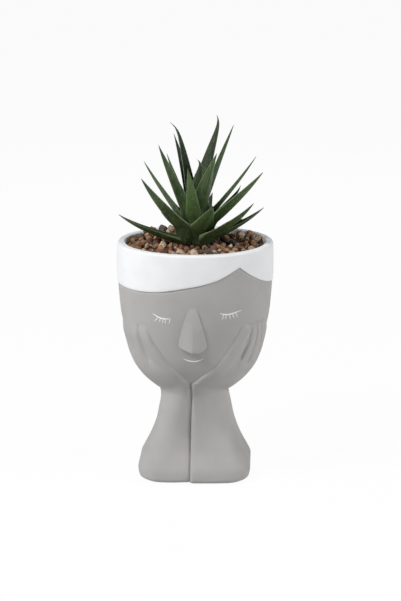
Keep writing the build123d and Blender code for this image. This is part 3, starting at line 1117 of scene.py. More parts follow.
@dataclass
class Forearms:
    """The stand: two lobes side by side that widen to the foot, with a hollow underside."""

    bowl: Bowl
    half_width: float = 36.8
    depth: float = 59.0
    low_height: float = 1.0
    high_height: float = 70.0
    overlap: float = 1.2
    # Share of the height, then shares of the foot's half width, of its depth, and of the half width for
    # the outer and the inner corner rounding
    form: tuple[tuple[float, float, float, float, float], ...] = (
        (0.000, 0.945, 0.99, 0.32, 0.06),
        (0.044, 0.980, 1.00, 0.38, 0.07),
        (0.113, 0.990, 1.00, 0.43, 0.08),
        (0.180, 0.935, 0.97, 0.43, 0.08),
        (0.278, 0.842, 0.92, 0.43, 0.09),
        (0.452, 0.712, 0.86, 0.41, 0.10),
        (0.626, 0.640, 0.81, 0.40, 0.10),
        (0.782, 0.592, 0.79, 0.41, 0.09),
        (0.913, 0.600, 0.80, 0.44, 0.08),
        (1.000, 0.600, 0.80, 0.44, 0.08),
    )
    edge_round: float = 1.4
    edge_share: float = 0.035
    ring_width: float = 14.0
    recess_depth: float = 3.0
    recess_round: float = 5.0
    recess_inner_round: float = 0.4
    # Where the front's own forms start and are whole, as Y
    front_depths: Range = (-4.0, -14.0)
    # The height where a rise is 1; at the foot it is 0
    palm_height: float = 65.0
    palm_bulge: float = 6.6
    palm_bulge_spread: float = 16.0
    palm_bulge_rise: float = 0.40
    foot_bulge: float = 2.5
    foot_bulge_half_width: float = 30.0
    foot_bulge_rise: float = 0.35
    groove_shift: float = 0.9
    groove_shift_at_foot: float = 1.6
    groove_shift_fall: float = 0.6
    groove_slope: float = 2.2
    groove_spread: float = 11.0
    groove_slope_rises: Range = (1.0, 0.45)
    fold_depth: float = 0.25
    fold_width: float = 2.2
    fold_foot_place: float = 33.0
    fold_lean: float = 13.6
    fold_low_rises: Range = (0.08, 0.2)
    fold_high_rises: Range = (1.0, 0.9)
    fold_aim: Range = (10.0, 0.0)
    corner_reach: float = 8.0
    corner_side_reach: float = 4.0
    corner_spread: float = 13.0
    corner_inset: float = 0.35
    corner_seam_share: float = 0.5
    corner_seam_width: float = 0.8
    bowl_base_slope: float = 1.3
    bowl_base_radius: float = 1.0
    top_low_height: float = 66.2
    top_low_radius: float = 28.6
    top_floor_radius: float = 26.5
    top_floor_share: float = 0.96
    top_floor_drop: float = 0.1
    top_slope: float = 1.3
    top_start_height: float = 50.0
    rows: int = 110
    corner_columns: int = 22
    side_columns: int = 12

    def outline(self, width: Array, depth: Array, outer: Array, inner: Array) -> Array:
        """Outlines of the right lobe: a box whose outer and inner corners have their own rounding.

        Args:
            width: Widths from the middle of the stand, one per level.
            depth: Depths, one per level.
            outer: Rounding of the two outer corners.
            inner: Rounding of the two inner corners.

        Returns:
            Points as levels, columns and 2, counter-clockwise from the inner front corner.
        """
        low, high = -self.overlap / 2, width
        corners = (
            (low + inner, -depth / 2 + inner, inner, 180.0),
            (high - outer, -depth / 2 + outer, outer, 270.0),
            (high - outer, depth / 2 - outer, outer, 0.0),
            (low + inner, depth / 2 - inner, inner, 90.0),
        )
        arcs = []
        for x, y, rounding, start in corners:
            turn = np.radians(start + np.linspace(0.0, 90.0, self.corner_columns))[None, :]
            arc_x = x[:, None] + rounding[:, None] * np.cos(turn)
            arc_y = y[:, None] + rounding[:, None] * np.sin(turn)
            arcs.append(np.stack([arc_x, arc_y], axis=-1))
        share = np.linspace(0.0, 1.0, self.side_columns + 2)[1:-1][None, :, None]
        pieces = []
        for arc, following in zip(arcs, arcs[1:] + arcs[:1]):
            pieces += [arc, arc[:, -1:] * (1.0 - share) + following[:, :1] * share]
        return np.concatenate(pieces, axis=1)

    def build(self, material: Material) -> list[Piece]:
        """Makes both lobes: rows run from the recess out over the foot's edge and up to the bowl.

        Args:
            material: The grey casting's material.

        Returns:
            The left and the right lobe.
        """
        knots = np.array(self.form)
        span = self.high_height - self.low_height
        share = np.linspace(0.0, 1.0, self.rows)
        width, depth, outer, inner = (
            curve(tuple(zip(knots[:, 0], knots[:, k])), share) for k in range(1, 5)
        )
        height = self.low_height + span * share
        under = ease(self.edge_share, 0.0, share)
        tuck = self.edge_round * (1.0 - np.sqrt(np.clip(1.0 - under**2, 0.0, 1.0)))
        sides = self.outline(
            self.half_width * width - tuck, self.depth * depth - 2 * tuck,
            self.half_width * outer, self.half_width * inner,
        )
        outline = np.concatenate([sides, np.repeat(height[:, None, None], sides.shape[1], axis=1)], axis=-1)
        one = np.ones(1)
        hollow = self.outline(
            (self.half_width - self.ring_width) * one,
            (self.depth - 2 * self.ring_width) * one,
            self.recess_round * one,
            self.recess_inner_round * one,
        )
        low = np.full((1, hollow.shape[1], 1), self.low_height)
        edge = np.concatenate([hollow, low], axis=-1)
        roof = np.concatenate([hollow, low + self.recess_depth], axis=-1)
        rings = np.concatenate([roof, edge, outline])
        lobes = []
        for name, side in (("pot_forearm_left", -1.0), ("pot_forearm_right", 1.0)):
            skin = Skin()
            skin.tube(self.topped(self.shaped(rings, side)) * np.array([side, 1.0, 1.0]))
            lobes.append(finish_piece(skin.build(name), material, Body.POT, Slot.CASTING, "pot"))
        return lobes

    def shaped(self, rings: Array, side: float) -> Array:
        """Shapes one lobe: its front swells out to the palms above and at the foot below, the groove between
        the lobes runs a little off the middle with the left one falling away to it, and a soft fold runs
        down the outer front corner of the right one.

        Args:
            rings: The right lobe's points.
            side: 1 for the right lobe, -1 for the left.

        Returns:
            The points, moved.
        """
        x, y, height = rings[..., 0], rings[..., 1], rings[..., 2]
        rise = (height - self.low_height) / (self.palm_height - self.low_height)
        front = ease(*self.front_depths, y)
        near = bell(x, self.corner_spread)
        wide = np.clip(1.0 - (x / self.foot_bulge_half_width) ** 2, 0.0, 1.0)
        below = ease(self.foot_bulge_rise, 0.0, rise) * wide
        above = bell(x, self.palm_bulge_spread) * ease(self.palm_bulge_rise, 1.0, rise)
        moved = rings.copy()
        moved[..., 1] -= front * (self.palm_bulge * above + self.foot_bulge * below)
        moved[..., 1] -= front * self.corner_fill(moved, side)
        shift = self.groove_shift_at_foot - self.groove_shift_fall * rise
        moved[..., 0] -= side * self.groove_shift * shift * near
        if side < 0:
            slope = bell(x, self.groove_spread) * ease(*self.groove_slope_rises, rise)
            moved[..., 1] += self.groove_slope * front * slope
            return moved
        line = self.fold_foot_place - self.fold_lean * ease(0.0, 1.0, rise)
        fold = bell(x - line, self.fold_width) * front
        fold = fold * ease(*self.fold_low_rises, rise) * ease(*self.fold_high_rises, rise)
        inward = -unit(rings[..., :2] - np.array(self.fold_aim))
        moved[..., :2] += self.fold_depth * fold[..., None] * inward
        return moved

    def topped(self, rings: Array) -> Array:
        """Lowers the columns whose top would come up through the bowl's floor, and adds a last ring
        below it; the top then lies in the thickness of the bowl's wall and floor.

        Args:
            rings: The lobe's points, shaped.

        Returns:
            The points, with their tops lowered and one ring more.
        """
        radius = np.hypot(rings[-1, :, 0], rings[-1, :, 1])
        top = self.top_low_height + self.top_slope * np.maximum(radius - self.top_low_radius, 0.0)
        drop = np.maximum(self.high_height - top, 0.0)
        height = rings[..., 2]
        lowered = rings.copy()
        part = (height - self.top_start_height) / (self.high_height - self.top_start_height)
        lowered[..., 2] = height - drop * np.clip(part, 0.0, 1.0)
        last = lowered[-1:].copy()
        last[..., :2] *= np.minimum(self.top_floor_radius / radius, self.top_floor_share)[None, :, None]
        last[..., 2] = self.top_low_height - self.top_floor_drop
        return np.concatenate([lowered, last])

    def corner_fill(self, rings: Array, side: float) -> Array:
        """How far the front comes forward where it meets the palms: the rounded corner between both.

        With F the lobe's own front and B the palm's, the fill is max(F, B) - F + k/4 (1 - |F - B|/k)^2,
        and k, the corner's reach, is long in the middle and short at the sides.

        Args:
            rings: The right lobe's points.
            side: 1 for the right lobe, -1 for the left.

        Returns:
            The fill at each point.
        """
        x, y, height = rings[..., 0], rings[..., 1], rings[..., 2]
        form = self.bowl.form
        low = np.maximum(height, form.base_height)
        reach = form.radius_at(low) - self.bowl_base_slope * (low - height)
        reach = np.maximum(reach, self.bowl_base_radius)
        angle = np.degrees(np.arcsin(np.clip(x / reach, -1.0, 1.0))) * side
        reach = reach + self.bowl.lift(angle, low)
        palm = np.sqrt(np.clip(reach**2 - x**2, 0.0, None)) - self.corner_inset
        gap = -y - palm
        longer = self.corner_reach - self.corner_side_reach
        k = self.corner_side_reach + longer * bell(x, self.corner_spread)
        k = k * (1.0 - self.corner_seam_share * bell(x, self.corner_seam_width))
        meeting = np.clip(1.0 - np.abs(gap) / k, 0.0, 1.0) ** 2
        return np.maximum(-gap, 0.0) + 0.25 * k * meeting


@dataclass(frozen=True)
class PaintLine:
    """One painted line on the face: its middle line as angle and height, and half its width."""

    line: Knots
    half_width: float
    start_share: float = 0.45
    end_share: float = 0.45


def lash(*line: tuple[float, float]) -> PaintLine:
    """A lash: a thin line, whole at the lid and pointed at its end."""
    return PaintLine(line, half_width=0.25, start_share=1.0, end_share=0.3)


@dataclass
class FaceLines:
    """The closed eyes, their lashes and the mouth, as thin raised strokes of white paint."""

    bowl: Bowl
    proud: float = 0.10
    sunk: float = 0.35
    taper: float = 0.35
    bluntness: int = 12
    least_share: float = 0.04
    rows: int = 26
    columns: int = 10
    lines: tuple[PaintLine, ...] = (
        PaintLine(((-30.7, 116.7), (-25.3, 114.7), (-21.0, 114.1), (-15.5, 114.5)), 0.46),
        lash((-26.0, 114.8), (-27.4, 113.2), (-29.5, 111.7)),
        lash((-24.0, 114.4), (-24.3, 113.0), (-25.0, 111.6)),
        lash((-21.7, 114.2), (-22.0, 112.6), (-22.7, 110.9)),
        lash((-19.8, 114.2), (-20.0, 112.4), (-20.5, 110.7)),
        lash((-16.3, 114.4), (-16.6, 112.8), (-17.3, 111.0)),
        PaintLine(((20.3, 118.1), (24.3, 117.1), (28.0, 116.8), (32.7, 117.4), (39.0, 118.5)), 0.46),
        lash((23.7, 117.2), (23.2, 115.4), (23.0, 113.6)),
        lash((25.7, 117.0), (25.5, 115.2), (25.5, 113.5)),
        lash((28.5, 116.9), (28.8, 115.2), (29.3, 113.4)),
        lash((30.7, 117.1), (31.6, 115.5), (32.7, 113.8)),
        lash((33.3, 117.5), (34.3, 115.9), (35.5, 114.2)),
        PaintLine(((-7.7, 87.8), (-3.7, 86.6), (1.3, 86.0), (6.2, 86.8), (10.0, 87.9)), 0.50, 0.25, 0.25),
    )

    def build(self, material: Material) -> Piece:
        """Makes the strokes: a flat oval carried along each line, thinner towards its ends.

        Args:
            material: The white paint's material.

        Returns:
            The new piece.
        """
        skin = Skin()
        for stroke in self.lines:
            skin.tube(self.stroke_rings(stroke))
        piece = skin.build("pot_face_lines")
        return finish_piece(piece, material, Body.POT, Slot.CASTING, "pot")

    def stroke_rings(self, stroke: PaintLine) -> Array:
        """The rings of one stroke, an oval at each step along its line.

        Args:
            stroke: The stroke.

        Returns:
            Points as steps, columns and 3.
        """
        t = np.linspace(0.0, 1.0, self.rows)
        angle, height = walk(stroke.line, t)
        middle = self.bowl.form.spot(angle, height, self.bowl.lift(angle, height))
        ahead = unit(np.gradient(middle, axis=0))
        outward = unit(middle * np.array([1.0, 1.0, 0.0]))
        across = unit(np.cross(outward, ahead))
        outward = np.cross(ahead, across)
        ends = stroke.start_share + (1.0 - stroke.start_share) * ease(0.0, self.taper, t)
        ends = ends * (stroke.end_share + (1.0 - stroke.end_share) * ease(1.0, 1.0 - self.taper, t))
        blunt = np.clip(1.0 - (2.0 * t - 1.0) ** self.bluntness, self.least_share, 1.0)
        half = stroke.half_width * ends * np.sqrt(blunt)
        turn = np.linspace(0.0, 2.0 * math.pi, self.columns, endpoint=False)
        side, rise = np.cos(turn), np.sin(turn)
        rise = np.where(rise > 0, rise * self.proud, rise * self.sunk)
        return (
            middle[:, None]
            + across[:, None] * (half[:, None] * side[None, :])[..., None]
            + outward[:, None] * rise[None, :, None]
        )


@dataclass(frozen=True)
class StoneKind:
    """One colour of stone: its node, slot and share of all the stones."""

    node: str
    slot: Slot
    share: float
    finish: StoneFinish


@dataclass
class Gravel:
    """Crushed stone on the glue bed: two layers over all of it, a third behind the stem and a fourth on
    two mounds."""

    bed_height: float
    reach: float
    kinds: tuple[StoneKind, ...]
    stem_radius: float = 6.4
    layer_counts: tuple[int, ...] = (260, 230, 150, 150)
    layer_heights: tuple[float, ...] = (1.2, 3.1, 4.8, 6.0)
    smallest: float = 1.25
    largest: float = 3.1
    top_height: float = 155.5
    mounds: tuple[tuple[float, float, float, float], ...] = (
        (-22.0, 26.0, 4.2, 13.0),
        (32.0, 15.0, 3.2, 9.0),
    )
    mound_least: float = 1.3
    heap_front: float = -14.0
    heap_inner: float = 15.0
    heap_outer: float = 39.0
    size_power: float = 1.9
    knocks: Range = (0.78, 1.16)
    least_axes: tuple[float, float, float] = (0.85, 0.65, 0.62)
    most_axes: tuple[float, float, float] = (1.30, 1.0, 0.92)
    flatness: float = 1.2
    place_spread: float = 0.55
    height_spread: float = 0.3
    stem_margin: float = 0.8
    wall_margin: float = 0.9
    cap_latitude: float = 62.0
    latitudes: int = 4
    longitudes: int = 7

    def places(self, count: int, random: np.random.Generator) -> Array:
        """Places spread evenly over the ring, as in a sunflower: radius by the root, a golden turn each.

        Args:
            count: How many.
            random: The source of the small shifts.

        Returns:
            Points as count and 2.
        """
        number = np.arange(count) + 0.5
        inner, outer = self.stem_radius**2, self.reach**2
        radius = np.sqrt(inner + (outer - inner) * number / count)
        turn = number * math.pi * (3.0 - math.sqrt(5.0))
        spread = np.stack([radius * np.cos(turn), radius * np.sin(turn)], axis=-1)
        return spread + random.normal(0.0, self.place_spread, spread.shape)

    def mound_rise(self, spots: Array) -> Array:
        """How much higher the stones lie, for the mounds at the back, each a bell over the bed.

        Args:
            spots: Places as count and 2.

        Returns:
            The rise at each place.
        """
        return sum(
            rise * np.exp(-((spots[:, 0] - x) ** 2 + (spots[:, 1] - y) ** 2) / spread**2)
            for x, y, rise, spread in self.mounds
        )

    def stones(self, count: int, height: float, random: np.random.Generator) -> Array:
        """A layer of stones: balls squeezed along three axes, knocked angular, turned at random and set down.

        Args:
            count: How many.
            height: Middle height over the glue bed.
            random: The source of the shapes.

        Returns:
            Points as stones, rings, columns and 3.
        """
        size = self.smallest + (self.largest - self.smallest) * random.random(count) ** self.size_power
        latitude = np.radians(np.linspace(-self.cap_latitude, self.cap_latitude, self.latitudes))[:, None]
        longitude = np.linspace(0.0, 2.0 * math.pi, self.longitudes, endpoint=False)[None, :]
        ball = np.stack(
            [
                np.cos(latitude) * np.cos(longitude),
                np.cos(latitude) * np.sin(longitude),
                np.sin(latitude) + 0.0 * longitude,
            ],
            axis=-1,
        )
        knocks = random.uniform(*self.knocks, (count, self.latitudes, self.longitudes, 1))
        axes = random.uniform(self.least_axes, self.most_axes, (count, 3))
        shape = ball[None] * knocks * axes[:, None, None, :] * size[:, None, None, None]
        first = unit(random.normal(size=(count, 3)) + np.array([0.0, 0.0, self.flatness]))
        second = unit(np.cross(first, random.normal(size=(count, 3))))
        frame = np.stack([second, np.cross(first, second), first], axis=1)
        turned = np.einsum("srck,skj->srcj", shape, frame)
        spots = self.places(count, random)
        out = np.linalg.norm(spots, axis=1)
        least, most = self.stem_radius + self.stem_margin * size, self.reach - self.wall_margin * size
        spots *= (np.clip(out, least, most) / out)[:, None]
        rise = self.mound_rise(spots)
        level = self.bed_height + height + rise * height / self.layer_heights[-1]
        middle = np.column_stack([spots, level + random.normal(0.0, self.height_spread, count)])
        placed = turned + middle[:, None, None, :]
        over = placed[..., 2].max(axis=(1, 2)) - self.top_height - rise
        placed[..., 2] -= np.clip(over, 0.0, None)[:, None, None]
        wide = np.linalg.norm(placed[..., :2], axis=-1)
        placed[..., :2] *= np.minimum(1.0, self.reach / wide)[..., None]
        return placed

    def build(self) -> list[Piece]:
        """Makes the four colours of stone, mixed over the whole bed.

        Returns:
            One piece per colour.
        """
        random = np.random.default_rng(SEED)
        layers = [
            self.stones(count, height, random)
            for count, height in zip(self.layer_counts, self.layer_heights)
        ]
        middle = layers[2].mean(axis=(1, 2))
        out = np.linalg.norm(middle[:, :2], axis=1)
        behind = (middle[:, 1] > self.heap_front) & (out > self.heap_inner) & (out < self.heap_outer)
        layers[2] = layers[2][behind]
        high = self.mound_rise(layers[3].mean(axis=(1, 2))[:, :2]) > self.mound_least
        layers[3] = layers[3][high]
        stones = np.concatenate(layers)
        kind = random.choice(len(self.kinds), size=len(stones), p=[k.share for k in self.kinds])
        tone = random.random(len(stones))
        pieces = []
        for number, stone_kind in enumerate(self.kinds):
            skin = Skin()
            for rings, shade in zip(stones[kind == number], tone[kind == number]):
                skin.tube(rings, tone=np.full(rings.shape[:2], shade))
            piece = skin.build(f"{stone_kind.node}_stones", smooth=False)
            material = stone_kind.finish.material()
            pieces.append(finish_piece(piece, material, Body.INSERT, stone_kind.slot, stone_kind.node))
        return pieces


@dataclass(frozen=True)
class Leaf:
    """One leaf: direction from +X and bend in degrees, then shares of the reach, of the rise over the rim,
    of the root span, of the half width and of the thickness; then how bright it is, how strongly it is
    banded, how far its tip hooks sideways in millimetres, how broad it is, how far it leans sideways,
    and how far it rolls in degrees."""

    direction: float
    bend: float
    reach: float
    rise: float
    root: float
    width: float
    thickness: float
    tone: float = 0.30
    bands: float = 0.0
    hook: float = 0.0
    broad: float = 1.25
    lean: float = 0.0
    roll: float = 0.0


@dataclass
class Foliage:
    """The plant's leaves: keeled blades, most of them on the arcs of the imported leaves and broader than
    they are, and eight of them moved a little."""

    rim_height: float
    bed_height: float
    reach: float = 50.0
    rise: float = 80.0
    half_width: float = 6.0
    thickness: float = 3.0
    root_span: float = 20.0
    core_low_height: float = 147.2
    core_top_height: float = 176.0
    core_base_radius: float = 4.6
    core_top_radius: float = 1.6
    cup: float = 0.30
    root_dip: float = 0.02
    tooth_pitch: float = 2.4
    tooth_depth: float = 0.16
    belly_low_rise: float = 1.6
    belly_most: float = 6.0
    rows: int = 90
    side_points: int = 12
    keel_round: float = 0.1
    tooth_root: Range = (0.04, 0.2)
    tooth_tip: Range = (1.0, 0.85)
    hook_power: float = 8.0
    hook_power_gain: float = 1.5
    sway: float = 0.35
    sway_turn: float = 5.0
    roll_share: float = 0.45
    belly_share: float = 0.24
    root_fullness: float = 0.26
    more_fullness: float = 0.54
    fullness_share: float = 0.5
    lip: float = 0.12
    lip_power: int = 8
    edge_share: float = 0.98
    # Share of the length, and share of the leaf's half width or thickness
    width_knots: Knots = (
        (0.0, 0.72), (0.08, 0.90), (0.20, 1.0), (0.34, 0.96), (0.55, 0.74), (0.78, 0.40), (0.92, 0.16),
        (1.0, 0.02),
    )
    thick_knots: Knots = ((0.0, 0.75), (0.12, 0.98), (0.30, 1.0), (0.55, 0.80), (0.80, 0.50), (1.0, 0.10))
    leaves: tuple[Leaf, ...] = (
        Leaf(-169, 24, 0.980, 0.224, -0.015, 0.767, 0.867, 0.30),
        Leaf(-138, 16, 0.860, 0.550, 0.170, 0.967, 1.000, 0.26, 0.15, 0.0, 1.68, 0.0, 12.0),
        Leaf(173, 8, 0.660, 0.625, 0.400, 0.700, 0.733, 0.24, 0.0, 0.0, 1.3, 0.0, -14.0),
        Leaf(-145, 6, 0.540, 0.788, 0.560, 0.767, 0.800, 0.26, 0.0, 0.0, 1.3, 0.0, -8.0),
        Leaf(177, 4, 0.360, 0.694, 0.740, 0.483, 0.600, 0.14),
        Leaf(121, 4, 0.410, 0.831, 0.660, 0.533, 0.633, 0.16, 0.0, 0.0, 1.25, 4.5, -10.0),
        Leaf(136, 2, 0.280, 0.936, 0.900, 0.567, 0.667, 0.22, 0.0, 5.5, 1.45, 3.2, -12.0),
        Leaf(-100, 0, 0.080, 0.660, 0.950, 0.333, 0.467, 0.08, 0.0, -4.4, 2.4, 6.2),
        Leaf(60, 4, 0.450, 0.975, 0.880, 0.700, 0.733, 0.20, 0.0, 4.5, 1.5, -6.5, 14.0),
        Leaf(2, -4, 0.484, 0.925, 0.720, 0.633, 0.667, 0.30, 0.0, 0.0, 1.5, 0.0, 12.0),
        Leaf(12, 8, 0.786, 0.662, 0.520, 0.667, 0.733, 0.36, 0.0, 0.0, 0.66, 0.0, 16.0),
        Leaf(-16, 12, 0.892, 0.575, 0.320, 0.800, 0.867, 0.46, 0.10, 0.0, 1.48, 0.0, 8.0),
        Leaf(29, 10, 0.680, 0.405, 0.200, 0.700, 0.733, 0.12, 0.0, 2.5, 1.1),
        Leaf(-31, 26, 0.870, 0.350, 0.060, 0.833, 0.867, 0.44, 0.10, 0.0, 1.65, 0.0, -8.0),
        Leaf(7, 22, 0.880, 0.256, -0.015, 0.667, 0.733, 0.28),
        Leaf(-94, 16, 0.390, 0.620, 0.310, 0.800, 0.833, 0.56, 0.70, 0.0, 1.0, -2.6),
        Leaf(-69, 20, 0.606, 0.340, 0.150, 0.800, 0.800, 0.46, 0.20, 0.0, 1.72, 1.4, -4.0),
        Leaf(-64, 6, 0.380, 0.725, 0.630, 0.767, 0.767, 0.34, 0.1, 0.0, 1.3, 6.5),
        Leaf(154, 14, 0.500, 0.200, 0.180, 0.633, 0.733, 0.10),
        Leaf(143, 8, 0.360, 0.060, -0.050, 0.667, 0.733, 0.08),
        Leaf(122, 10, 0.500, 0.462, 0.340, 0.667, 0.733, 0.12),
        Leaf(105, 16, 0.760, 0.188, 0.050, 0.700, 0.733, 0.10),
        Leaf(74, 16, 0.720, 0.312, 0.130, 0.700, 0.733, 0.12),
        Leaf(70, 10, 0.500, 0.525, 0.520, 0.650, 0.733, 0.14),
        Leaf(43, 14, 0.820, 0.112, -0.050, 0.667, 0.733, 0.12),
    )

    def core_radius_at(self, height: float) -> float:
        """The stem's radius, which falls evenly from its base to its top.

        Args:
            height: A height over the floor.

        Returns:
            The radius there.
        """
        share = (height - self.core_low_height) / (self.core_top_height - self.core_low_height)
        share = min(max(share, 0.0), 1.0)
        return self.core_base_radius + (self.core_top_radius - self.core_base_radius) * share

    def line(self, leaf: Leaf, share: Array) -> tuple[Array, Array, Array, float]:
        """A leaf's middle line, a circular arc in the upright plane of its direction.

        Args:
            leaf: The leaf.
            share: Shares of its length.

        Returns:
            Points, directions along it, the direction across it, and its length.
        """
        root_height = self.rim_height + self.root_span * leaf.root
        root_radius = self.core_radius_at(root_height)
        out = self.reach * leaf.reach - root_radius
        up = self.rim_height + self.rise * leaf.rise - root_height
        turn = math.radians(leaf.bend) or 1e-6
        first = math.atan2(up, out) - turn / 2
        length = math.hypot(out, up) * (turn / 2) / math.sin(turn / 2)
        slope = first + turn * share
        gone_out = length * (np.sin(slope) - math.sin(first)) / turn
        gone_up = length * (math.cos(first) - np.cos(slope)) / turn
        heading = math.radians(leaf.direction)
        ahead = np.array([math.cos(heading), math.sin(heading), 0.0])
        across = np.array([-math.sin(heading), math.cos(heading), 0.0])
        upward = np.array([0.0, 0.0, 1.0])
        points = ahead * (root_radius + gone_out)[:, None] + upward * (root_height + gone_up)[:, None]
        along = ahead * np.cos(slope)[:, None] + upward * np.sin(slope)[:, None]
        return points, along, across, length

    def blade(self, leaf: Leaf, number: int) -> Skin:
        """One blade: channelled above, keeled below, with fine teeth and a needle tip.

        Across the leaf, t goes from -1 to 1. The upper face is -cup t^2, and the lower one falls from the
        keel to the edges as (1 - |t|)^p, with the keel rounded and p from 0.26 at the root to 0.8.

        Args:
            leaf: The leaf.
            number: Its number, which shifts its teeth and waves.

        Returns:
            The blade's skin, with the values that its finish reads.
        """
        share = np.linspace(-self.root_dip, 1.0, self.rows)
        points, along, across, length = self.line(leaf, share)
        at = np.clip(share, 0.0, 1.0)
        half = self.half_width * leaf.width * leaf.broad * curve(self.width_knots, at)
        thick = self.thickness * leaf.thickness * curve(self.thick_knots, at)
        wave = np.sin(at * length / self.tooth_pitch * 2.0 * math.pi + number)
        teeth = self.tooth_depth * np.clip(wave, 0.0, 1.0) ** 3
        teeth = teeth * ease(*self.tooth_root, at) * ease(*self.tooth_tip, at)
        bent = leaf.hook * at ** (self.hook_power + self.hook_power_gain * abs(leaf.hook))
        swing = self.sway * np.sin(at * self.sway_turn + number) * at * (1.0 - at)
        sway = bent + leaf.lean * at**2 + swing
        points = points + across * sway[:, None]
        under = np.cross(across, along)
        roll = np.radians(leaf.roll) * ease(0.0, self.roll_share, at)[:, None]
        across, under = (
            across * np.cos(roll) + under * np.sin(roll),
            under * np.cos(roll) - across * np.sin(roll),
        )
        t = np.cos(np.linspace(math.pi, 0.0, self.side_points))
        keel = soft_size(t, self.keel_round)
        cup = half[:, None] * self.cup
        room = points[0, 2] - self.bed_height - self.belly_low_rise - thick[0]
        belly = min(max(room, 0.0), self.belly_most) * ease(self.belly_share, 0.0, at)
        deep = (thick + belly)[:, None]
        fullness = (self.root_fullness + self.more_fullness * ease(0.0, self.fullness_share, at))[:, None]
        lower = -cup + (deep + cup) * np.clip(1.0 - keel, 0.0, 1.0)[None, :] ** fullness
        upper = -cup * (t**2)[None, :]
        lip = self.lip * np.minimum(1.0, half)[:, None] * (1.0 - t**self.lip_power)[None, :]
        at_edge = np.sign(t) * (np.abs(t) > self.edge_share)
        reach = half[:, None] * t[None, :] + teeth[:, None] * at_edge
        side = np.concatenate([reach, reach[:, ::-1][:, 1:-1]], axis=1)
        drop = np.concatenate([lower + lip, (upper - lip)[:, ::-1][:, 1:-1]], axis=1)
        rings = points[:, None] + across[:, None] * side[..., None] + under[:, None] * drop[..., None]
        shape = side.shape
        # 0 on the keeled face, 1 in the channel
        face = np.concatenate([np.zeros(len(t)), np.ones(len(t) - 2)])
        skin = Skin()
        skin.tube(
            rings,
            along=np.repeat(at[:, None], shape[1], axis=1),
            across=np.repeat(np.concatenate([t, t[::-1][1:-1]])[None, :], shape[0], axis=0),
            face=np.repeat(face[None, :], shape[0], axis=0),
            tone=np.full(shape, leaf.tone),
            bands=np.full(shape, leaf.bands),
        )
        return skin

    def build(self, material: Material) -> list[Piece]:
        """Makes every leaf.

        Args:
            material: The leaves' material.

        Returns:
            One piece per leaf.
        """
        pieces = []
        for number, leaf in enumerate(self.leaves, start=1):
            piece = self.blade(leaf, number).build(f"leaf_{number:02d}_blade")
            pieces.append(finish_piece(piece, material, Body.PLANT, Slot.LEAF, f"leaf_{number:02d}"))
        return pieces


@dataclass(frozen=True)
class CarriedNode:
    """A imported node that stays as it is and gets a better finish."""

    node: str
    finish: PlainFinish

    def dress(self, frame: dict[str, object]) -> None:
        """Puts the finish on the node.

        Args:
            frame: The loaded frame.
        """
        piece = frame["nodes"][self.node]
        material = self.finish.material()
        piece.data.materials.clear()
        piece.data.materials.append(material)
        log.info("%s: dressed", self.node)


@dataclass
class Lamp:
    """A soft square lamp that looks at the bowl."""

    name: str
    place: tuple[float, float, float]
    size: float
    power: float

    def build(self, target: Vector) -> None:
        """Makes the lamp.

        Args:
            target: The point that it looks at, in metres.
        """
        data = bpy.data.lights.new(self.name, "AREA")
        data.size = self.size * METRES_PER_MM
        data.energy = self.power
        lamp = bpy.data.objects.new(self.name, data)
        lamp.location = Vector(self.place) * METRES_PER_MM
        lamp.rotation_mode = "QUATERNION"
        lamp.rotation_quaternion = (target - lamp.location).to_track_quat("-Z", "Y")
        bpy.context.scene.collection.objects.link(lamp)


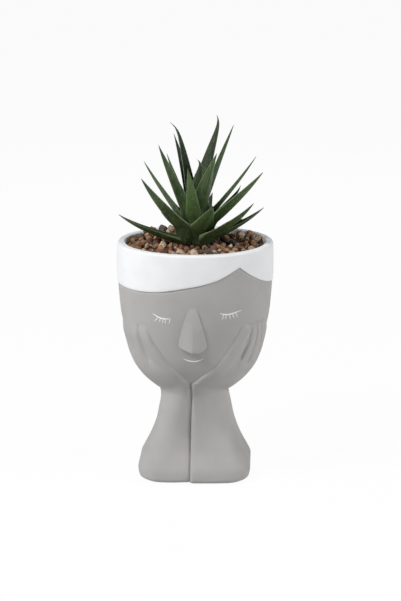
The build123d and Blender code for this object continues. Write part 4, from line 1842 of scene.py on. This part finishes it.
@dataclass
class Studio:
    """The pale floor, the white surround, the lamps and the camera."""

    floor_half_size: float = 14000.0
    floor_drop: float = 0.2
    floor_cells: int = 24
    floor_tone: float = 0.60
    floor_tone_spread: float = 0.02
    floor_patch_size: float = 40.0
    floor_seen: Colour = (0.92, 0.92, 0.92)
    floor_roughness: float = 0.9
    floor_glow_share: float = 0.96
    world_level: float = 0.02
    camera_reach: float = 100.0
    camera_distance: float = 1000.0
    camera_height: float = 355.9
    camera_azimuth: float = 2.5
    camera_pitch: float = 13.54
    focal_pixels: float = 1590.3
    axis_pixel: float = 195.2
    sensor: float = 36.0
    lamps: tuple[Lamp, ...] = (
        Lamp("key_lamp", (-760.0, -620.0, 1000.0), 500.0, 15.7),
        Lamp("left_lamp", (-1200.0, -60.0, 320.0), 700.0, 2.1),
        Lamp("right_lamp", (1150.0, -400.0, 640.0), 700.0, 10.6),
        Lamp("back_lamp", (200.0, 1100.0, 800.0), 900.0, 2.5),
    )

    def floor(self) -> None:
        """A level sheet, brightened where the camera sees it so that it reads as white but keeps a shadow."""
        line = np.linspace(-self.floor_half_size, self.floor_half_size, self.floor_cells)
        x, y = np.meshgrid(line, line)
        points = np.stack([x, y, np.full_like(x, -self.floor_drop)], axis=-1).reshape(-1, 3)
        index = np.arange(len(points)).reshape(x.shape)
        faces = np.stack([index[:-1, :-1], index[:-1, 1:], index[1:, 1:], index[1:, :-1]], axis=-1)
        mesh = bpy.data.meshes.new("floor")
        mesh.from_pydata((points * METRES_PER_MM).tolist(), [], faces.reshape(-1, 4).tolist())
        floor = bpy.data.objects.new("floor", mesh)
        bpy.context.scene.collection.objects.link(floor)
        bench = Bench("floor_paper")
        seen = self.seen(bench)
        patches = bench.noise(self.floor_patch_size, 2.0)
        paper = bench.uneven(patches, self.floor_tone, (0.0, self.floor_tone_spread))
        bench.surface(Base_Color=bench.blend(seen, paper, self.floor_seen), Roughness=self.floor_roughness)
        glow = bench.nodes.new("ShaderNodeEmission")
        glow.inputs["Strength"].default_value = 1.0
        mix = bench.nodes.new("ShaderNodeMixShader")
        bench.link(bench.sum_of("MULTIPLY", seen, self.floor_glow_share), mix.inputs[0])
        bench.link(bench.shader.outputs["BSDF"], mix.inputs[1])
        bench.link(glow.outputs["Emission"], mix.inputs[2])
        bench.link(mix.outputs["Shader"], bench.output.inputs["Surface"])
        floor.data.materials.append(bench.material)

    @staticmethod
    def seen(bench: Bench) -> Socket:
        """Tells what sees the floor: 1 for the camera, a mirror or glass, 0 for the object's own light.

        Args:
            bench: The floor's material.

        Returns:
            The number's socket.
        """
        path = bench.nodes.new("ShaderNodeLightPath")
        mirror = bench.sum_of("MAXIMUM", path.outputs["Is Glossy Ray"], path.outputs["Is Transmission Ray"])
        return bench.sum_of("MAXIMUM", path.outputs["Is Camera Ray"], mirror)

    def surround(self) -> None:
        """A world that is white to the camera and a plain soft light to the object."""
        world = bpy.data.worlds.new("surround")
        world.use_nodes = True
        bpy.context.scene.world = world
        nodes, links = world.node_tree.nodes, world.node_tree.links
        nodes.clear()
        path = nodes.new("ShaderNodeLightPath")
        level = nodes.new("ShaderNodeMapRange")
        level.inputs["To Min"].default_value = self.world_level
        level.inputs["To Max"].default_value = 1.0
        background = nodes.new("ShaderNodeBackground")
        output = nodes.new("ShaderNodeOutputWorld")
        links.new(path.outputs["Is Camera Ray"], level.inputs["Value"])
        links.new(level.outputs["Result"], background.inputs["Strength"])
        background.inputs["Color"].default_value = (1.0, 1.0, 1.0, 1.0)
        links.new(background.outputs["Background"], output.inputs["Surface"])

    def camera(self) -> None:
        """The camera at the photograph's viewing angle."""
        data = bpy.data.cameras.new("camera")
        data.sensor_width = self.sensor
        data.lens = self.focal_pixels * self.sensor / PHOTO_HEIGHT
        data.shift_x = (PHOTO_WIDTH / 2 - self.axis_pixel) / PHOTO_HEIGHT
        data.clip_end = self.camera_reach
        camera = bpy.data.objects.new("camera", data)
        turn = math.radians(self.camera_azimuth)
        flat = self.camera_distance * METRES_PER_MM
        height = self.camera_height * METRES_PER_MM
        camera.location = (flat * math.sin(turn), -flat * math.cos(turn), height)
        camera.rotation_euler = (math.radians(90.0 - self.camera_pitch), 0.0, turn)
        bpy.context.scene.collection.objects.link(camera)
        bpy.context.scene.camera = camera

    def build(self, target: Vector) -> None:
        """Makes the studio.

        Args:
            target: The point that the lamps look at, in metres.
        """
        bpy.context.scene.view_settings.view_transform = "Standard"
        self.floor()
        self.surround()
        for lamp in self.lamps:
            lamp.build(target)
        self.camera()


def hands() -> tuple[Hand, ...]:
    """Both hands: their fingers' middle lines and inner edges, as angle outward from the face and height.

    Returns:
        The right hand, at +X, and the left one.
    """
    right = Hand(
        side=1,
        fingers=(
            Finger(
                (
                    (5.5, 57.0), (6.5, 64.0), (12.2, 69.7), (19.9, 74.4), (29.6, 82.1), (35.9, 89.9),
                    (39.8, 96.2), (43.3, 101.2), (45.2, 104.0),
                ), 5.5, 4.8,
            ),
            Finger(((48.0, 80.0), (52.0, 86.0), (54.3, 93.0), (54.2, 99.5), (52.6, 104.5)), 5.0, 4.3, 0.92),
            Finger(((64.7, 80.0), (65.0, 86.6), (64.8, 93.0), (61.9, 99.6), (58.2, 105.0)), 5.6, 4.1, 0.86),
            Finger(((84.0, 78.0), (83.0, 86.0), (80.0, 93.0), (74.5, 99.0), (68.0, 104.5)), 6.8, 4.6, 0.78),
        ),
        creases=(
            Crease(((45.3, 85.1), (48.2, 90.7), (50.1, 95.3), (50.0, 100.9), (49.3, 105.3)), 1.0, 0.8),
            Crease(((56.3, 80.7), (58.1, 86.6), (59.3, 92.9), (58.2, 99.5), (55.5, 106.3)), 1.0, 0.8),
            Crease(((73.2, 79.8), (72.4, 85.5), (70.2, 93.1), (65.5, 99.7), (60.5, 106.0)), 0.9, 0.8),
        ),
        inner_edge=((1.0, 63.5), (6.0, 68.0), (18.9, 77.0), (28.4, 84.9), (34.8, 92.5)),
        softness=0.42,
    )
    left = Hand(
        side=-1,
        fingers=(
            Finger(
                (
                    (8.0, 57.0), (8.5, 63.0), (11.5, 67.2), (18.7, 73.9), (26.9, 81.7), (31.9, 87.5),
                    (37.3, 94.2), (40.3, 99.8), (42.0, 104.0),
                ), 5.1, 4.4,
            ),
            Finger(((48.5, 80.0), (51.5, 88.0), (52.4, 96.0), (51.5, 104.5)), 5.4, 5.0, 0.86),
            Finger(((61.0, 79.0), (63.2, 88.0), (62.8, 96.0), (60.5, 105.0)), 6.0, 5.4, 0.80),
            Finger(((78.0, 78.0), (78.5, 87.0), (77.0, 95.0), (71.0, 103.4)), 8.2, 6.0, 0.74),
        ),
        creases=(
            Crease(
                ((40.6, 83.7), (43.6, 86.6), (46.0, 91.9), (47.1, 98.2), (46.8, 103.9), (46.2, 107.0)),
                0.6, 1.2,
            ),
            Crease(((55.0, 84.0), (57.5, 91.0), (57.5, 99.0), (55.5, 107.0)), 0.25, 1.3),
            Crease(((68.0, 84.0), (69.5, 92.0), (68.0, 100.0), (65.0, 107.0)), 0.22, 1.2),
        ),
        inner_edge=((1.0, 63.5), (8.0, 68.6), (17.5, 76.1), (26.0, 84.3), (31.6, 90.4), (36.0, 96.3)),
        softness=0.50,
        tip_fade=12.0,
    )
    return right, left


STONE_KINDS = tuple(
    StoneKind(node, slot, share, StoneFinish(name, linear(*light), linear(*deep)))
    for node, name, slot, share, light, deep in (
        ("gravel_tan", "tan_stone", Slot.STONE_TAN, 0.34, (184, 142, 98), (122, 90, 62)),
        ("gravel_rust", "rust_stone", Slot.STONE_RUST, 0.22, (146, 94, 74), (98, 62, 50)),
        ("gravel_dark", "dark_stone", Slot.STONE_DARK, 0.28, (104, 86, 74), (58, 47, 42)),
        ("gravel_cream", "cream_stone", Slot.STONE_CREAM, 0.16, (206, 184, 154), (148, 128, 112)),
    )
)

# The last numbers are the size and depth of the pores, the roughness, and the stretch along Z
CARRIED_NODES = tuple(
    CarriedNode(node, PlainFinish(name, linear(*colour), linear(*shade), *numbers))
    for node, name, colour, shade, numbers in (
        ("foot_pads", "pad_felt", (58, 58, 60), (34, 34, 36), (0.25, 0.12, 0.92)),
        ("foam_plug", "dry_foam", (74, 96, 70), (50, 68, 50), (0.45, 0.20, 0.90)),
        ("glue_bed", "set_glue", (150, 128, 98), (108, 88, 66), (1.4, 0.15, 0.42)),
        ("crown_core", "stem_plastic", (64, 78, 50), (38, 50, 34), (0.8, 0.12, 0.50, 0.2)),
    )
)


def corners(box: tuple[Vector, Vector]) -> list[list[float]]:
    """A box's lowest and highest corner as plain lists."""
    return [[float(value) for value in corner] for corner in box]


def main() -> None:
    """Builds the planter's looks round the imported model, part by part."""
    logging.basicConfig(level=logging.INFO, format="%(name)s %(message)s")
    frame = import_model()
    rim_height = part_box("pot")[1].z / METRES_PER_MM
    bed_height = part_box("glue_bed")[1].z / METRES_PER_MM

    grey = CastingFinish("grey_casting", linear(177, 175, 173), linear(172, 170, 168)).material()
    white = CastingFinish(
        "white_casting", linear(241, 242, 244), linear(236, 237, 239),
        roughness=0.55, grain_size=0.9, grain_depth=0.03, wave_size=6.0, wave_depth=0.14,
    ).material()

    form = BowlForm(rim_height)
    band = HairBand(form)
    bowl = Bowl(form, hands(), band)
    bowl.build(grey)
    band.build(white)
    Nose(form).build(grey)
    Forearms(bowl).build(grey)
    FaceLines(bowl).build(white)
    cavity_radius = form.radius_at(np.array(rim_height)) - form.wall
    Gravel(bed_height, cavity_radius - GRAVEL_GAP, STONE_KINDS).build()
    Foliage(rim_height, bed_height).build(LeafFinish().material())
    for carried in CARRIED_NODES:
        carried.dress(frame)
    Studio().build(LAMP_TARGET)


if __name__ == "__main__":
    main()
